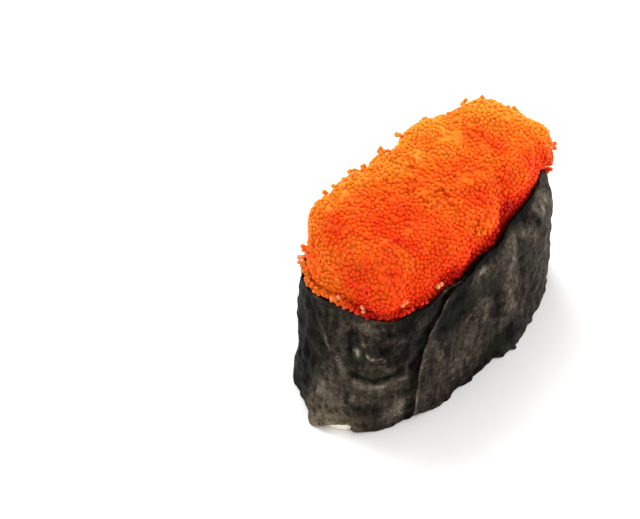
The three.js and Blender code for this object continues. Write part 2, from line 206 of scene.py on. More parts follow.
@dataclass(frozen=True)
class Wall:
    """The outer face of the nori, which the rice and the roe inside it follow."""

    height: float = 26.2
    sheet: float = 0.45
    clearance: float = 0.35
    foot: Oval = Oval(27.4, 27.6, 13.8, 2.6, 2.2, 0.06)
    rim: Oval = Oval(23.7, 27.4, 12.8, 3.2, 3.2, -0.12)
    seam: float = rad(216)
    seam_lean: float = rad(24)
    overlap: float = rad(64)
    overlap_fade: float = rad(12)
    # Soft lumps all round: rise, how many, phase and twist for each millimetre of height.
    lumps: tuple[tuple[float, int, float, float], ...] = (
        (0.2, 5, 0.7, 0.11),
        (0.15, 9, -1.1, -0.17),
        (0.1, 14, 2.3, 0.31),
    )
    # Bulges and dents: rise, angle, width, height and reach.
    dents: tuple[tuple[float, float, float, float, float], ...] = (
        (-0.8, rad(240), rad(10), 19.5, 5),
        (1.0, rad(150), rad(10), 0, 4.5),
        (1.2, rad(180), rad(6), 0, 4.5),
        (-0.8, rad(168), rad(7), 0, 4.5),
        (-0.35, rad(209), rad(12), 0, 4.5),
    )
    # Where the collar leans in over the roe: how far, angle, reach and margin.
    leans: tuple[tuple[float, float, float, float], ...] = (
        (0.7, rad(198), rad(4), rad(24)),
        (0.7, rad(300), rad(25), rad(30)),
        (1.4, rad(328), rad(8), rad(30)),
    )
    lean_start: float = 19.5
    # Waves of the upper edge: rise, how many and phase. Then its swell: rise, angle and width.
    rim_waves: tuple[tuple[float, int, float], ...] = ((0.25, 3, 1.0), (0.15, 8, 0.0))
    rim_swell: tuple[float, float, float] = (0.4, rad(200), rad(25))
    # Where the lower edge is lifted off the table: how far, angle and width.
    corner_lift: tuple[float, float, float] = (1.3, rad(187), rad(6))
    crease: Crease = Crease()
    # The turn to either side over which the way out is worked out.
    swing: float = 0.01

    def relief(self, angle: np.ndarray, height: np.ndarray) -> np.ndarray:
        """How far the face stands out of its plain outline: soft lumps and the larger folds.

        Args:
            angle: direction from the middle.
            height: height above the table in millimetres.

        Returns:
            Millimetres outwards.
        """
        out = self.crease.rise(angle, height)
        for rise, waves, phase, twist in self.lumps:
            out = out + rise * np.sin(waves * angle + phase + twist * height)
        for rise, centre, width, level, reach in self.dents:
            out = out + rise * bump(turn(angle, centre), width) * bump(height - level, reach)
        away = turn(angle, self.seam + self.overlap / 2)
        out = out - (self.sheet + self.clearance) * window(away, self.overlap / 2, self.overlap_fade)
        lean = sum(far * window(turn(angle, at), reach, margin) for far, at, reach, margin in self.leans)
        return out - lean * ease(height, self.lean_start, self.height)

    def plan(self, angle: np.ndarray, level: np.ndarray) -> np.ndarray:
        """The plain outline at a level, from 0 at the foot to 1 at the rim."""
        share = level[..., None]
        return self.foot.at(angle) * (1 - share) + self.rim.at(angle) * share

    def normal(self, angle: np.ndarray, level: np.ndarray) -> np.ndarray:
        """The way out of the plain outline.

        Args:
            angle: direction from the middle.
            level: 0 at the foot, 1 at the rim.

        Returns:
            X and Y of length 1, one a row.
        """
        tangent = self.plan(angle + self.swing, level) - self.plan(angle - self.swing, level)
        tangent /= np.linalg.norm(tangent, axis=-1, keepdims=True)
        return np.stack([tangent[..., 1], -tangent[..., 0]], axis=-1)

    def point(self, angle: np.ndarray, height: np.ndarray, offset: np.ndarray | float) -> np.ndarray:
        """Points of the face, moved out or in.

        Args:
            angle: direction from the middle.
            height: height above the table in millimetres.
            offset: millimetres outwards.

        Returns:
            X, Y and Z in millimetres, one point a row.
        """
        level = np.clip(height / self.height, 0, 1)
        out = (offset + self.relief(angle, height))[..., None]
        plan = self.plan(angle, level) + self.normal(angle, level) * out
        return np.concatenate([plan, height[..., None]], axis=-1)

    def rim_height(self, angle: np.ndarray) -> np.ndarray:
        """Height of the nori's upper edge.

        Args:
            angle: direction from the middle.

        Returns:
            Millimetres above the table.
        """
        wave = sum(rise * np.sin(waves * angle + phase) for rise, waves, phase in self.rim_waves)
        swell, centre, width = self.rim_swell
        return self.height + wave + swell * bump(turn(angle, centre), width)

    def foot_height(self, angle: np.ndarray) -> np.ndarray:
        """Height of the nori's lower edge in millimetres: lifted off one front corner."""
        lift, centre, width = self.corner_lift
        return lift * bump(turn(angle, centre), width)


# --- mesh helpers -------------------------------------------------------------------------


def mesh_object(name: str, bm: bmesh.types.BMesh, smooth: bool = True) -> bpy.types.Object:
    """Makes an object of a bmesh whose places are in millimetres.

    Args:
        name: the piece's name.
        bm: its mesh, which is freed.
        smooth: whether its faces are shaded smooth.

    Returns:
        The object, at the origin and in metres.
    """
    bmesh.ops.scale(bm, vec=(MM, MM, MM), verts=bm.verts)
    mesh = bpy.data.meshes.new(name)
    bm.to_mesh(mesh)
    bm.free()
    mesh.polygons.foreach_set("use_smooth", np.full(len(mesh.polygons), smooth))
    made = bpy.data.objects.new(name, mesh)
    bpy.context.scene.collection.objects.link(made)
    return made


def moved_grid(
    columns: int, rows: int, place: Callable[[np.ndarray, np.ndarray], np.ndarray]
) -> tuple[bmesh.types.BMesh, np.ndarray]:
    """A grid bent to a shape.

    Args:
        columns: steps across.
        rows: steps up.
        place: from the shares across and up, each 0 to 1, to places in millimetres.

    Returns:
        The bent grid, and the shares across and up of each of its vertices.
    """
    bm = bmesh.new()
    bmesh.ops.create_grid(bm, x_segments=columns, y_segments=rows, size=0.5)
    shares = np.array([vert.co[:2] for vert in bm.verts]) + 0.5
    for vert, place_mm in zip(bm.verts, place(shares[:, 0], shares[:, 1])):
        vert.co = place_mm
    return bm, shares


def close_up(bm: bmesh.types.BMesh, merge: float) -> None:
    """Welds a bent grid's meeting edges, caps what is still open and turns its faces outwards.

    Args:
        bm: the mesh.
        merge: how near points are welded, in its own units.
    """
    bmesh.ops.remove_doubles(bm, verts=bm.verts, dist=merge)
    bmesh.ops.holes_fill(bm, edges=bm.edges, sides=0)
    bmesh.ops.recalc_face_normals(bm, faces=bm.faces)


def joined_copies(
    name: str, template: bmesh.types.BMesh, places: np.ndarray, turns: np.ndarray, tint: np.ndarray
) -> bpy.types.Object:
    """One mesh of many copies of a small shape, flat where they would go through the table.

    Args:
        name: the piece's name.
        template: the shape, in millimetres round its own middle, which is freed.
        places: middle of each copy in millimetres.
        turns: a 3 by 3 turn and scale for each copy.
        tint: a number for each copy, kept as the attribute "tint".

    Returns:
        The object, at the origin and in metres.
    """
    template.verts.ensure_lookup_table()
    corners = np.array([vert.co[:] for vert in template.verts])
    faces = np.array([[vert.index for vert in face.verts] for face in template.faces])
    template.free()
    copies = np.einsum("nij,vj->nvi", turns, corners) + places[:, None]
    # Their flats lie a little apart, so that no two that touch coincide.
    floors = LOWEST_FLAT + FLAT_STEP * (np.arange(len(places)) % FLAT_STEPS)
    copies[..., 2] = np.maximum(copies[..., 2], floors[:, None])
    sides = faces.shape[1]
    loops = (faces[None] + np.arange(len(places))[:, None, None] * len(corners)).reshape(-1)
    mesh = bpy.data.meshes.new(name)
    mesh.vertices.add(copies.shape[0] * copies.shape[1])
    mesh.vertices.foreach_set("co", (copies * MM).ravel())
    mesh.loops.add(len(loops))
    mesh.loops.foreach_set("vertex_index", loops)
    mesh.polygons.add(len(loops) // sides)
    mesh.polygons.foreach_set("loop_start", np.arange(0, len(loops), sides))
    mesh.polygons.foreach_set("use_smooth", np.full(len(loops) // sides, True))
    mesh.update(calc_edges=True)
    mesh.validate()
    mesh.attributes.new("tint", "FLOAT", "POINT").data.foreach_set("value", np.repeat(tint, len(corners)))
    made = bpy.data.objects.new(name, mesh)
    bpy.context.scene.collection.objects.link(made)
    return made


def settle(made: bpy.types.Object, finish: bpy.types.Material, node: Node) -> bpy.types.Object:
    """Dresses a finished piece and makes it part of the object.

    Args:
        made: the piece.
        finish: its material.
        node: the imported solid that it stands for.

    Returns:
        The same piece.
    """
    made.data.materials.append(finish)
    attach(made, "root")
    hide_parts(node.value)
    LOG.info("%s: %d faces", made.name, len(made.data.polygons))
    return made


# --- finishes -----------------------------------------------------------------------------

Stops = tuple[tuple[float, str], ...]


def linear(hex_colour: str) -> tuple[float, float, float, float]:
    """An sRGB hex colour as the linear one that shaders take.

    Args:
        hex_colour: such as #FF8000.

    Returns:
        Red, green, blue and 1.
    """
    parts = [int(hex_colour[k : k + 2], 16) / 255 for k in (1, 3, 5)]
    straight = [v / 12.92 if v <= 0.04045 else ((v + 0.055) / 1.055) ** 2.4 for v in parts]
    return (*straight, 1.0)


def add_node(
    tree: bpy.types.NodeTree,
    kind: str,
    inputs: dict[str | int, object] | None = None,
    stops: Stops = (),
    **settings: object,
) -> bpy.types.Node:
    """Adds a node.

    Args:
        tree: the node tree.
        kind: the node's type.
        inputs: for each input's name or number, the socket that feeds it or its own value.
        stops: a colour ramp's places, with their sRGB hex colours.
        settings: the node's own settings.

    Returns:
        The node.
    """
    made = tree.nodes.new(kind)
    for name, value in settings.items():
        setattr(made, name, value)
    for name, value in (inputs or {}).items():
        if isinstance(value, bpy.types.NodeSocket):
            tree.links.new(value, made.inputs[name])
        else:
            made.inputs[name].default_value = value
    for spot, _ in stops[1:-1]:
        made.color_ramp.elements.new(spot)
    for k, (spot, hex_colour) in enumerate(stops):
        made.color_ramp.elements[k].position = spot
        made.color_ramp.elements[k].color = linear(hex_colour)
    return made


def new_finish(name: str) -> tuple[bpy.types.Material, bpy.types.NodeTree, bpy.types.NodeSocket]:
    """Makes an empty material.

    Args:
        name: the material's name.

    Returns:
        The material, its node tree and the input that takes its shader.
    """
    material = bpy.data.materials.new(name)
    material.use_nodes = True
    tree = material.node_tree
    tree.nodes.clear()
    output = add_node(tree, "ShaderNodeOutputMaterial")
    return material, tree, output.inputs["Surface"]


def grain(vector: bpy.types.NodeSocket, size_mm: float, detail: float) -> dict[str | int, object]:
    """Inputs of a noise on object coordinates whose features are this size."""
    return {"Vector": vector, "Scale": 1 / (size_mm * MM), "Detail": detail}


def span(
    value: bpy.types.NodeSocket, start: tuple[float, float], end: tuple[float, float] = (0.0, 1.0)
) -> dict[str | int, object]:
    """Inputs that map a value from one range onto another."""
    return {"Value": value, "From Min": start[0], "From Max": start[1], "To Min": end[0], "To Max": end[1]}


@dataclass(frozen=True)
class FishRoe:
    """Flying fish eggs: a thin clear skin over coloured liquid, so each glows and has a soft glint."""

    name: str = "flying_fish_roe"
    # From painted shade in the deep places of the heap to painted light where light comes through it.
    stops: Stops = (
        (0.0, "#A80D05"),
        (0.25, "#E0330A"),
        (0.5, "#EC5210"),
        (0.75, "#EE7418"),
        (1.0, "#EC9228"),
    )
    # Neighbouring eggs differ a little, as some are riper.
    cloud_mm: float = 0.8
    cloud_share: float = 0.16
    # The colour of the liquid carries into the eggs beside it, the red furthest.
    glow: float = 0.8
    glow_mm: float = 0.6
    glow_reach: tuple[float, float, float] = (1.0, 0.5, 0.25)
    # Moist, with a skin near water in its index, so the glint is soft and small.
    roughness: float = 0.28
    index: float = 1.38
    shine: float = 0.12

    def build(self) -> bpy.types.Material:
        """Makes the material.

        Returns:
            The material.
        """
        material, tree, surface = new_finish(self.name)
        tint = add_node(tree, "ShaderNodeAttribute", attribute_name="tint")
        place = add_node(tree, "ShaderNodeTexCoord").outputs["Object"]
        cloud = add_node(tree, "ShaderNodeTexNoise", grain(place, self.cloud_mm, 2.0))
        drift = {0: cloud.outputs["Fac"], 1: self.cloud_share, 2: tint.outputs["Fac"]}
        share = add_node(tree, "ShaderNodeMath", drift, operation="MULTIPLY_ADD")
        middle = {0: share.outputs[0], 1: self.cloud_share / 2}
        centred = add_node(tree, "ShaderNodeMath", middle, operation="SUBTRACT")
        colour = add_node(tree, "ShaderNodeValToRGB", {"Fac": centred.outputs[0]}, self.stops)
        shader = add_node(
            tree,
            "ShaderNodeBsdfPrincipled",
            {
                "Base Color": colour.outputs["Color"],
                "Roughness": self.roughness,
                "IOR": self.index,
                "Specular IOR Level": self.shine,
                "Subsurface Weight": self.glow,
                "Subsurface Radius": self.glow_reach,
                "Subsurface Scale": self.glow_mm * MM,
            },
        )
        tree.links.new(shader.outputs[0], surface)
        return material


@dataclass(frozen=True)
class DampNori:
    """Pressed and toasted seaweed gone damp on rice: near black and paler where it is thin, with painted
    highlights and painted shade laid into its colour.
    """

    name: str = "damp_nori"
    # From dark sheet and painted shade to paler sheet, and at the top painted highlights where it catches the
    # light.
    stops: Stops = (
        (0.0, "#040302"),
        (0.27, "#221C17"),
        (0.46, "#3F362D"),
        (0.6, "#544B41"),
        (0.78, "#70675B"),
        (1.0, "#A89F94"),
    )
    green: str = "#2E3424"
    wet_foot: str = "#8E8068"
    # Real fibres are a tenth of a millimetre wide: they are drawn coarse enough to show.
    fibre_mm: float = 0.4
    blotch_mm: float = 1.3
    # Streaks run up the strip, the way that its sheet was pressed.
    streak_mm: float = 1.1
    streak_squeeze: float = 0.24
    strand_mm: float = 2.6
    strand_half: float = 0.025
    strand_bend: float = 1.2
    # Where more green algae were in the sheet: the cloud's range that it fills, and how strongly.
    algae_mm: float = 5.2
    algae_range: tuple[float, float] = (0.5, 0.7)
    algae_share: float = 0.4
    # The blotches' range over which the wet foot turns olive, and how strongly at either end.
    mottle_range: tuple[float, float] = (0.36, 0.64)
    mottle_share: tuple[float, float] = (0.1, 1.0)
    # How much the tone attribute, the blotches, the streaks, the fibres and the strands count.
    tone_share: float = 0.6
    blotch_share: float = 1.5
    streak_share: float = 1.4
    fibre_share: float = 0.9
    strand_share: float = 0.35
    # The sum of them that is darkest, and the one that is palest.
    dark_sum: float = 1.35
    pale_sum: float = 3.2
    # Relief of the blotches and the fibres.
    wrinkle_mm: float = 0.35
    weave_mm: float = 0.08
    relief: float = 0.8
    # Damp cellulose: a dull satin with hardly any glint.
    roughness: float = 0.6
    index: float = 1.35
    shine: float = 0.07

    def strands(self, tree: bpy.types.NodeTree, vector: bpy.types.NodeSocket) -> bpy.types.NodeSocket:
        """The fine pale strands that wander over a pressed sheet.

        Args:
            tree: the material's node tree.
            vector: the places that they are worked out at.

        Returns:
            1 on a strand, 0 beside it.
        """
        inputs = {**grain(vector, self.strand_mm, 3.0), "Distortion": self.strand_bend}
        cloud = add_node(tree, "ShaderNodeTexNoise", inputs).outputs["Fac"]
        centred = add_node(tree, "ShaderNodeMath", {0: cloud, 1: 0.5}, operation="SUBTRACT")
        away = add_node(tree, "ShaderNodeMath", {0: centred.outputs[0]}, operation="ABSOLUTE")
        near = span(away.outputs[0], (0.0, self.strand_half), (1.0, 0.0))
        return add_node(tree, "ShaderNodeMapRange", near).outputs[0]

    def paleness(
        self, tree: bpy.types.NodeTree, patterns: tuple[tuple[bpy.types.NodeSocket, float], ...]
    ) -> bpy.types.NodeSocket:
        """Sums up the tone attribute and the patterns.

        Args:
            tree: the material's node tree.
            patterns: the patterns, and how much each counts.

        Returns:
            0 where the sheet is darkest, 1 where it is palest.
        """
        tone = add_node(tree, "ShaderNodeAttribute", attribute_name="tone").outputs["Fac"]
        summed = add_node(tree, "ShaderNodeMath", {0: tone, 1: self.tone_share}, operation="MULTIPLY")
        for pattern, share in patterns:
            inputs = {0: pattern, 1: share, 2: summed.outputs[0]}
            summed = add_node(tree, "ShaderNodeMath", inputs, operation="MULTIPLY_ADD")
        total = summed.outputs[0]
        return add_node(tree, "ShaderNodeMapRange", span(total, (self.dark_sum, self.pale_sum))).outputs[0]

    def build(self) -> bpy.types.Material:
        """Makes the material.

        Returns:
            The material.
        """
        material, tree, surface = new_finish(self.name)
        place = add_node(tree, "ShaderNodeTexCoord").outputs["Object"]
        squeeze = {"Vector": place, "Scale": (1.0, 1.0, self.streak_squeeze)}
        upright = add_node(tree, "ShaderNodeMapping", squeeze).outputs[0]
        clouds = (
            (place, self.blotch_mm),
            (place, self.fibre_mm),
            (upright, self.streak_mm),
            (place, self.algae_mm),
        )
        blotch, fibre, streak, algae = (
            add_node(tree, "ShaderNodeTexNoise", {**grain(*cloud, 4.0), "Roughness": 0.6}).outputs["Fac"]
            for cloud in clouds
        )
        patterns = (
            (blotch, self.blotch_share),
            (streak, self.streak_share),
            (fibre, self.fibre_share),
            (self.strands(tree, place), self.strand_share),
        )
        shade = add_node(tree, "ShaderNodeValToRGB", {"Fac": self.paleness(tree, patterns)}, self.stops)
        grown = add_node(tree, "ShaderNodeMapRange", span(algae, self.algae_range, (0.0, self.algae_share)))
        greenish = {"Factor": grown.outputs[0], 6: shade.outputs["Color"], 7: linear(self.green)}
        mixed = add_node(tree, "ShaderNodeMix", greenish, data_type="RGBA")
        olive = add_node(tree, "ShaderNodeAttribute", attribute_name="olive").outputs["Fac"]
        mottle = add_node(tree, "ShaderNodeMapRange", span(blotch, self.mottle_range, self.mottle_share))
        soaked = add_node(tree, "ShaderNodeMath", {0: olive, 1: mottle.outputs[0]}, operation="MULTIPLY")
        wet = {"Factor": soaked.outputs[0], 6: mixed.outputs[2], 7: linear(self.wet_foot)}
        footed = add_node(tree, "ShaderNodeMix", wet, data_type="RGBA")
        wrinkled = {"Height": blotch, "Distance": self.wrinkle_mm * MM, "Strength": self.relief}
        wrinkle = add_node(tree, "ShaderNodeBump", wrinkled).outputs["Normal"]
        woven = {"Height": fibre, "Distance": self.weave_mm * MM, "Strength": self.relief, "Normal": wrinkle}
        shader = add_node(
            tree,
            "ShaderNodeBsdfPrincipled",
            {
                "Base Color": footed.outputs[2],
                "Roughness": self.roughness,
                "IOR": self.index,
                "Specular IOR Level": self.shine,
                "Normal": add_node(tree, "ShaderNodeBump", woven).outputs["Normal"],
            },
        )
        tree.links.new(shader.outputs[0], surface)
        return material


@dataclass(frozen=True)
class SushiRice:
    """Cooked short rice dressed with vinegar: cream white, slightly see-through and moist."""

    name: str = "vinegared_rice"
    white: str = "#F4EFE2"
    cream: str = "#E2D6B8"
    cloud_mm: float = 2.5
    # The starch on a grain is finer than this: it is drawn coarse enough to show.
    starch_mm: float = 0.4
    starch_rise_mm: float = 0.05
    glow: float = 0.5
    glow_mm: float = 0.8
    glow_reach: tuple[float, float, float] = (1.0, 0.8, 0.6)
    roughness: float = 0.35
    index: float = 1.4

    def build(self) -> bpy.types.Material:
        """Makes the material.

        Returns:
            The material.
        """
        material, tree, surface = new_finish(self.name)
        place = add_node(tree, "ShaderNodeTexCoord").outputs["Object"]
        cloud = add_node(tree, "ShaderNodeTexNoise", grain(place, self.cloud_mm, 3.0)).outputs["Fac"]
        creamy = {"Factor": cloud, 6: linear(self.white), 7: linear(self.cream)}
        fine = add_node(tree, "ShaderNodeTexNoise", grain(place, self.starch_mm, 2.0)).outputs["Fac"]
        skin = add_node(tree, "ShaderNodeBump", {"Height": fine, "Distance": self.starch_rise_mm * MM})
        shader = add_node(
            tree,
            "ShaderNodeBsdfPrincipled",
            {
                "Base Color": add_node(tree, "ShaderNodeMix", creamy, data_type="RGBA").outputs[2],
                "Roughness": self.roughness,
                "IOR": self.index,
                "Subsurface Weight": self.glow,
                "Subsurface Radius": self.glow_reach,
                "Subsurface Scale": self.glow_mm * MM,
                "Normal": skin.outputs["Normal"],
            },
        )
        tree.links.new(shader.outputs[0], surface)
        return material


@dataclass(frozen=True)
class PaleBoard:
    """A matt white laminated board: the plain ground that the piece stands on."""

    name: str = "pale_board"
    white: str = "#FCFBFA"
    roughness: float = 0.9

    def build(self) -> bpy.types.Material:
        """Makes the material.

        Returns:
            The material.
        """
        material, tree, surface = new_finish(self.name)
        inputs = {"Base Color": linear(self.white), "Roughness": self.roughness}
        tree.links.new(add_node(tree, "ShaderNodeBsdfPrincipled", inputs).outputs[0], surface)
        return material


# --- nori ---------------------------------------------------------------------------------


@dataclass(frozen=True)
class Fold:
    """A ridge or a furrow of the sheet, or just a lighter or darker stretch of it.

    The angles are in degrees and all else in millimetres. A rise below 0 is a furrow, and a tone
    runs from -1, for painted shade and darker sheet, to 1, for painted highlights where it catches the light
    and paler sheet.
    """

    start: tuple[float, float]
    end: tuple[float, float]
    width: float
    rise: float
    tone: float


FOLDS = (
    # The outer layer's edge near the rim, with a painted highlight where it catches the light.
    Fold((248, 26.4), (232, 24.6), 0.7, 0.1, 1.2),
    Fold((258, 27.0), (230, 26.8), 0.75, 0.05, 3.0),
    Fold((231, 24.2), (224, 19.5), 0.5, 0.1, 0.8),
    # Painted shade in the hollow beside that edge, and the dark blotches behind it.
    Fold((232.5, 19.8), (246, 22.4), 2.1, -0.35, -2.6),
    Fold((236, 16.8), (247, 18.2), 1.5, -0.2, -1.8),
    Fold((244, 21.2), (255, 19.6), 1.7, -0.2, -2.0),
    Fold((231.5, 18.0), (244, 18.4), 1.4, -0.1, -1.4),
    Fold((270, 17.0), (276, 13.0), 1.4, 0.1, 0.5),
    Fold((263, 15.0), (268, 12.5), 1.2, 0.1, 0.5),
    Fold((269, 22.5), (275, 18.0), 1.1, -0.2, -0.9),
    Fold((283, 19.0), (286, 11.0), 1.0, -0.3, -1.2),
    Fold((276, 14.5), (279, 11.5), 0.9, -0.2, -0.6),
    Fold((267, 23.4), (274, 25.0), 1.2, 0.1, 0.9),
    # The ridge that leans up the side, and the bands that run down towards the front, paled with painted
    # sheen where they catch the light.
    Fold((291, 8.0), (296, 15.0), 1.3, 0.45, 0.5),
    Fold((296, 15.0), (306, 24.5), 1.2, 0.4, 0.6),
    Fold((224, 12.0), (230, 9.5), 1.4, 0.2, 0.4),
    Fold((246, 9.5), (264, 11.5), 1.6, 0.2, 0.5),
    Fold((229, 7.5), (256, 6.2), 1.3, 0.2, 0.4),
    Fold((262, 15.0), (268, 21.0), 1.2, 0.25, 0.3),
    # The darker lower edge of the side.
    Fold((228, 1.0), (255, 1.0), 1.6, -0.1, -0.9),
    Fold((255, 1.2), (286, 2.8), 1.9, -0.15, -1.2),
    Fold((286, 3.4), (299, 4.5), 2.2, -0.2, -1.3),
    Fold((299, 3.0), (314, 2.0), 1.4, -0.1, -0.6),
    # Furrows and ridges of the far corner, with painted shade in the furrows and painted sheen on the ridges.
    Fold((311, 21.5), (310.5, 14.5), 1.0, -0.4, -0.9),
    Fold((317.5, 5.0), (319.5, 14.5), 1.2, -0.3, -0.7),
    Fold((325, 18.5), (326, 12.0), 1.1, -0.3, -0.4),
    Fold((333, 4.0), (331, 17.0), 1.2, 0.25, 0.4),
    Fold((302, 20.0), (301, 9.0), 1.6, 0.2, 0.4),
    Fold((298, 24.0), (301, 20.0), 1.5, 0.1, 0.2),
    Fold((266, 24.4), (274, 23.6), 1.2, 0.1, 0.8),
    # The mottled collar of that corner, blotched dark, with painted highlights where it catches the light.
    Fold((313, 23.0), (315.5, 21.8), 0.9, 0.2, 1.0),
    Fold((318.5, 24.6), (320.5, 22.8), 1.0, -0.2, -0.9),
    Fold((324, 22.0), (326, 20.5), 0.8, -0.2, -0.9),
    Fold((329.5, 23.4), (330, 20.8), 0.9, 0.15, 1.3),
    Fold((338, 22.0), (341, 17.0), 1.3, 0.1, 0.7),
    Fold((307.5, 24.5), (309.5, 20.0), 1.1, 0.1, 0.8),
    Fold((332, 24.6), (337, 19.0), 1.2, 0.0, 0.9),
    Fold((319.5, 21.8), (321.5, 18.0), 1.2, 0.0, 0.7),
    Fold((321, 25.6), (331, 24.6), 1.0, 0.1, 1.0),
    Fold((326, 23.6), (328, 21.0), 0.9, 0.1, 0.7),
    # The left of the front: a broad painted shadow, then paler stretches and small painted highlights, one a
    # glint at the foot's corner.
    Fold((161.5, 20.5), (163, 13.5), 2.8, -0.2, -2.6),
    Fold((163, 13.5), (165, 7.0), 2.6, -0.2, -2.4),
    Fold((168, 13.5), (169, 10.5), 1.1, -0.2, -0.6),
    Fold((173, 22.0), (176, 18.8), 0.6, 0.15, 0.6),
    Fold((176.5, 18.6), (179.5, 16.4), 0.45, 0.2, 1.0),
    Fold((175.0, 10.2), (179, 5.5), 1.5, 0.2, 1.0),
    Fold((173, 6.0), (176, 1.5), 1.5, 0.1, 0.7),
    Fold((180, 9.0), (187, 5.0), 1.7, 0.1, 1.1),
    Fold((178.5, 2.3), (181, 1.7), 0.5, 0.1, 1.8),
    Fold((182, 24.0), (186, 21.0), 1.2, 0.1, 0.15),
    Fold((181, 12.6), (187, 10.5), 1.3, 0.1, 0.4),
    Fold((184, 15.5), (187.5, 13.2), 0.8, 0.1, 0.9),
    # Painted shade in the dark ring round the front corner's hollow and in the seam beside it, and a painted
    # highlight on the lip under it.
    Fold((191, 23.2), (187.5, 21.5), 0.7, -0.15, -0.6),
    Fold((187.5, 21.5), (189.5, 16.5), 0.8, -0.2, -0.5),
    Fold((190, 13.8), (199.5, 12.9), 0.75, -0.2, -1.4),
    Fold((199.5, 12.9), (207, 12.9), 0.75, -0.2, -0.9),
    Fold((207, 13.5), (211.5, 20.5), 1.5, -0.15, -1.0),
    Fold((201, 23.6), (208.5, 23.0), 0.8, -0.1, -0.8),
    Fold((190, 24.6), (199, 24.4), 1.2, 0.05, 0.7),
    Fold((209, 25.5), (212.5, 22.0), 1.4, -0.1, -1.2),
    Fold((211, 26.0), (224, 25.2), 1.4, 0.0, -1.6),
    Fold((196, 26.6), (204, 26.4), 0.8, 0.0, 0.8),
    Fold((199, 17.8), (205, 15.6), 0.9, 0.1, 0.6),
    Fold((169, 26.2), (175, 25.4), 1.2, 0.1, 1.0),
    Fold((200, 20.5), (207, 17.0), 1.8, -0.1, -0.6),
    Fold((189.5, 12.2), (199.5, 11.6), 0.6, 0.15, 1.3),
    Fold((199.5, 11.6), (210, 12.4), 0.6, 0.15, 1.6),
    # Painted highlights on the crinkles that catch the light inside it, and painted shade in the creases
    # between them.
    Fold((189.4, 19.0), (190.8, 18.7), 0.25, 0.2, 1.6),
    Fold((191.4, 19.5), (192.2, 17.9), 0.27, 0.25, 2.3),
    Fold((193.7, 21.4), (194.3, 20.4), 0.22, 0.2, 1.6),
    Fold((195.8, 18.9), (196.4, 18.3), 0.3, 0.25, 2.4),
    Fold((197.4, 18.1), (198.2, 18.3), 0.25, 0.2, 1.6),
    Fold((199.9, 18.6), (200.9, 18.9), 0.25, 0.2, 1.8),
    Fold((201.4, 17.9), (202.4, 18.1), 0.2, 0.1, 1.0),
    Fold((187.6, 20.6), (188.6, 17.4), 0.5, -0.2, -1.3),
    Fold((189.6, 16.8), (194.0, 16.4), 0.5, -0.25, -1.5),
    Fold((194.1, 19.6), (194.8, 17.4), 0.3, -0.25, -1.6),
    Fold((196.5, 16.9), (201, 17.2), 0.5, -0.2, -0.7),
    Fold((198.8, 19.4), (202.5, 20.4), 0.7, -0.1, -0.7),
    # The foot of the front.
    Fold((207, 4.8), (215, 5.8), 1.7, 0.15, 1.2),
    Fold((190, 9.0), (200, 7.8), 1.0, 0.15, 0.3),
    Fold((193, 6.0), (202, 5.2), 0.9, -0.2, -0.7),
    Fold((189.5, 4.5), (192.5, 1.5), 0.8, -0.1, -0.5),
    Fold((205, 2.4), (214, 2.6), 1.4, 0.0, 1.0),
    # The other side, which faces away.
    Fold((60, 5.0), (66, 20.0), 1.6, 0.4, 0.4),
    Fold((72, 9.0), (74, 18.0), 1.4, -0.3, -0.9),
    Fold((84, 22.0), (80, 8.0), 1.4, -0.4, -0.5),
    Fold((95, 18.0), (108, 15.0), 1.3, -0.2, -0.8),
    Fold((104, 6.0), (118, 14.0), 1.5, 0.35, 0.5),
    Fold((118, 3.0), (140, 2.0), 1.6, -0.1, -0.8),
    Fold((30, 18.0), (44, 10.0), 1.5, -0.35, -0.7),
    Fold((20, 6.0), (40, 4.0), 1.5, 0.2, 0.5),
    Fold((8, 6.0), (3, 21.0), 1.3, 0.35, 0.5),
    Fold((352, 10.0), (356, 20.0), 1.4, -0.3, -0.8),
    Fold((135, 8.0), (140, 20.0), 1.5, -0.35, -0.6),
    Fold((50, 1.5), (90, 1.5), 1.6, -0.1, -0.8),
)


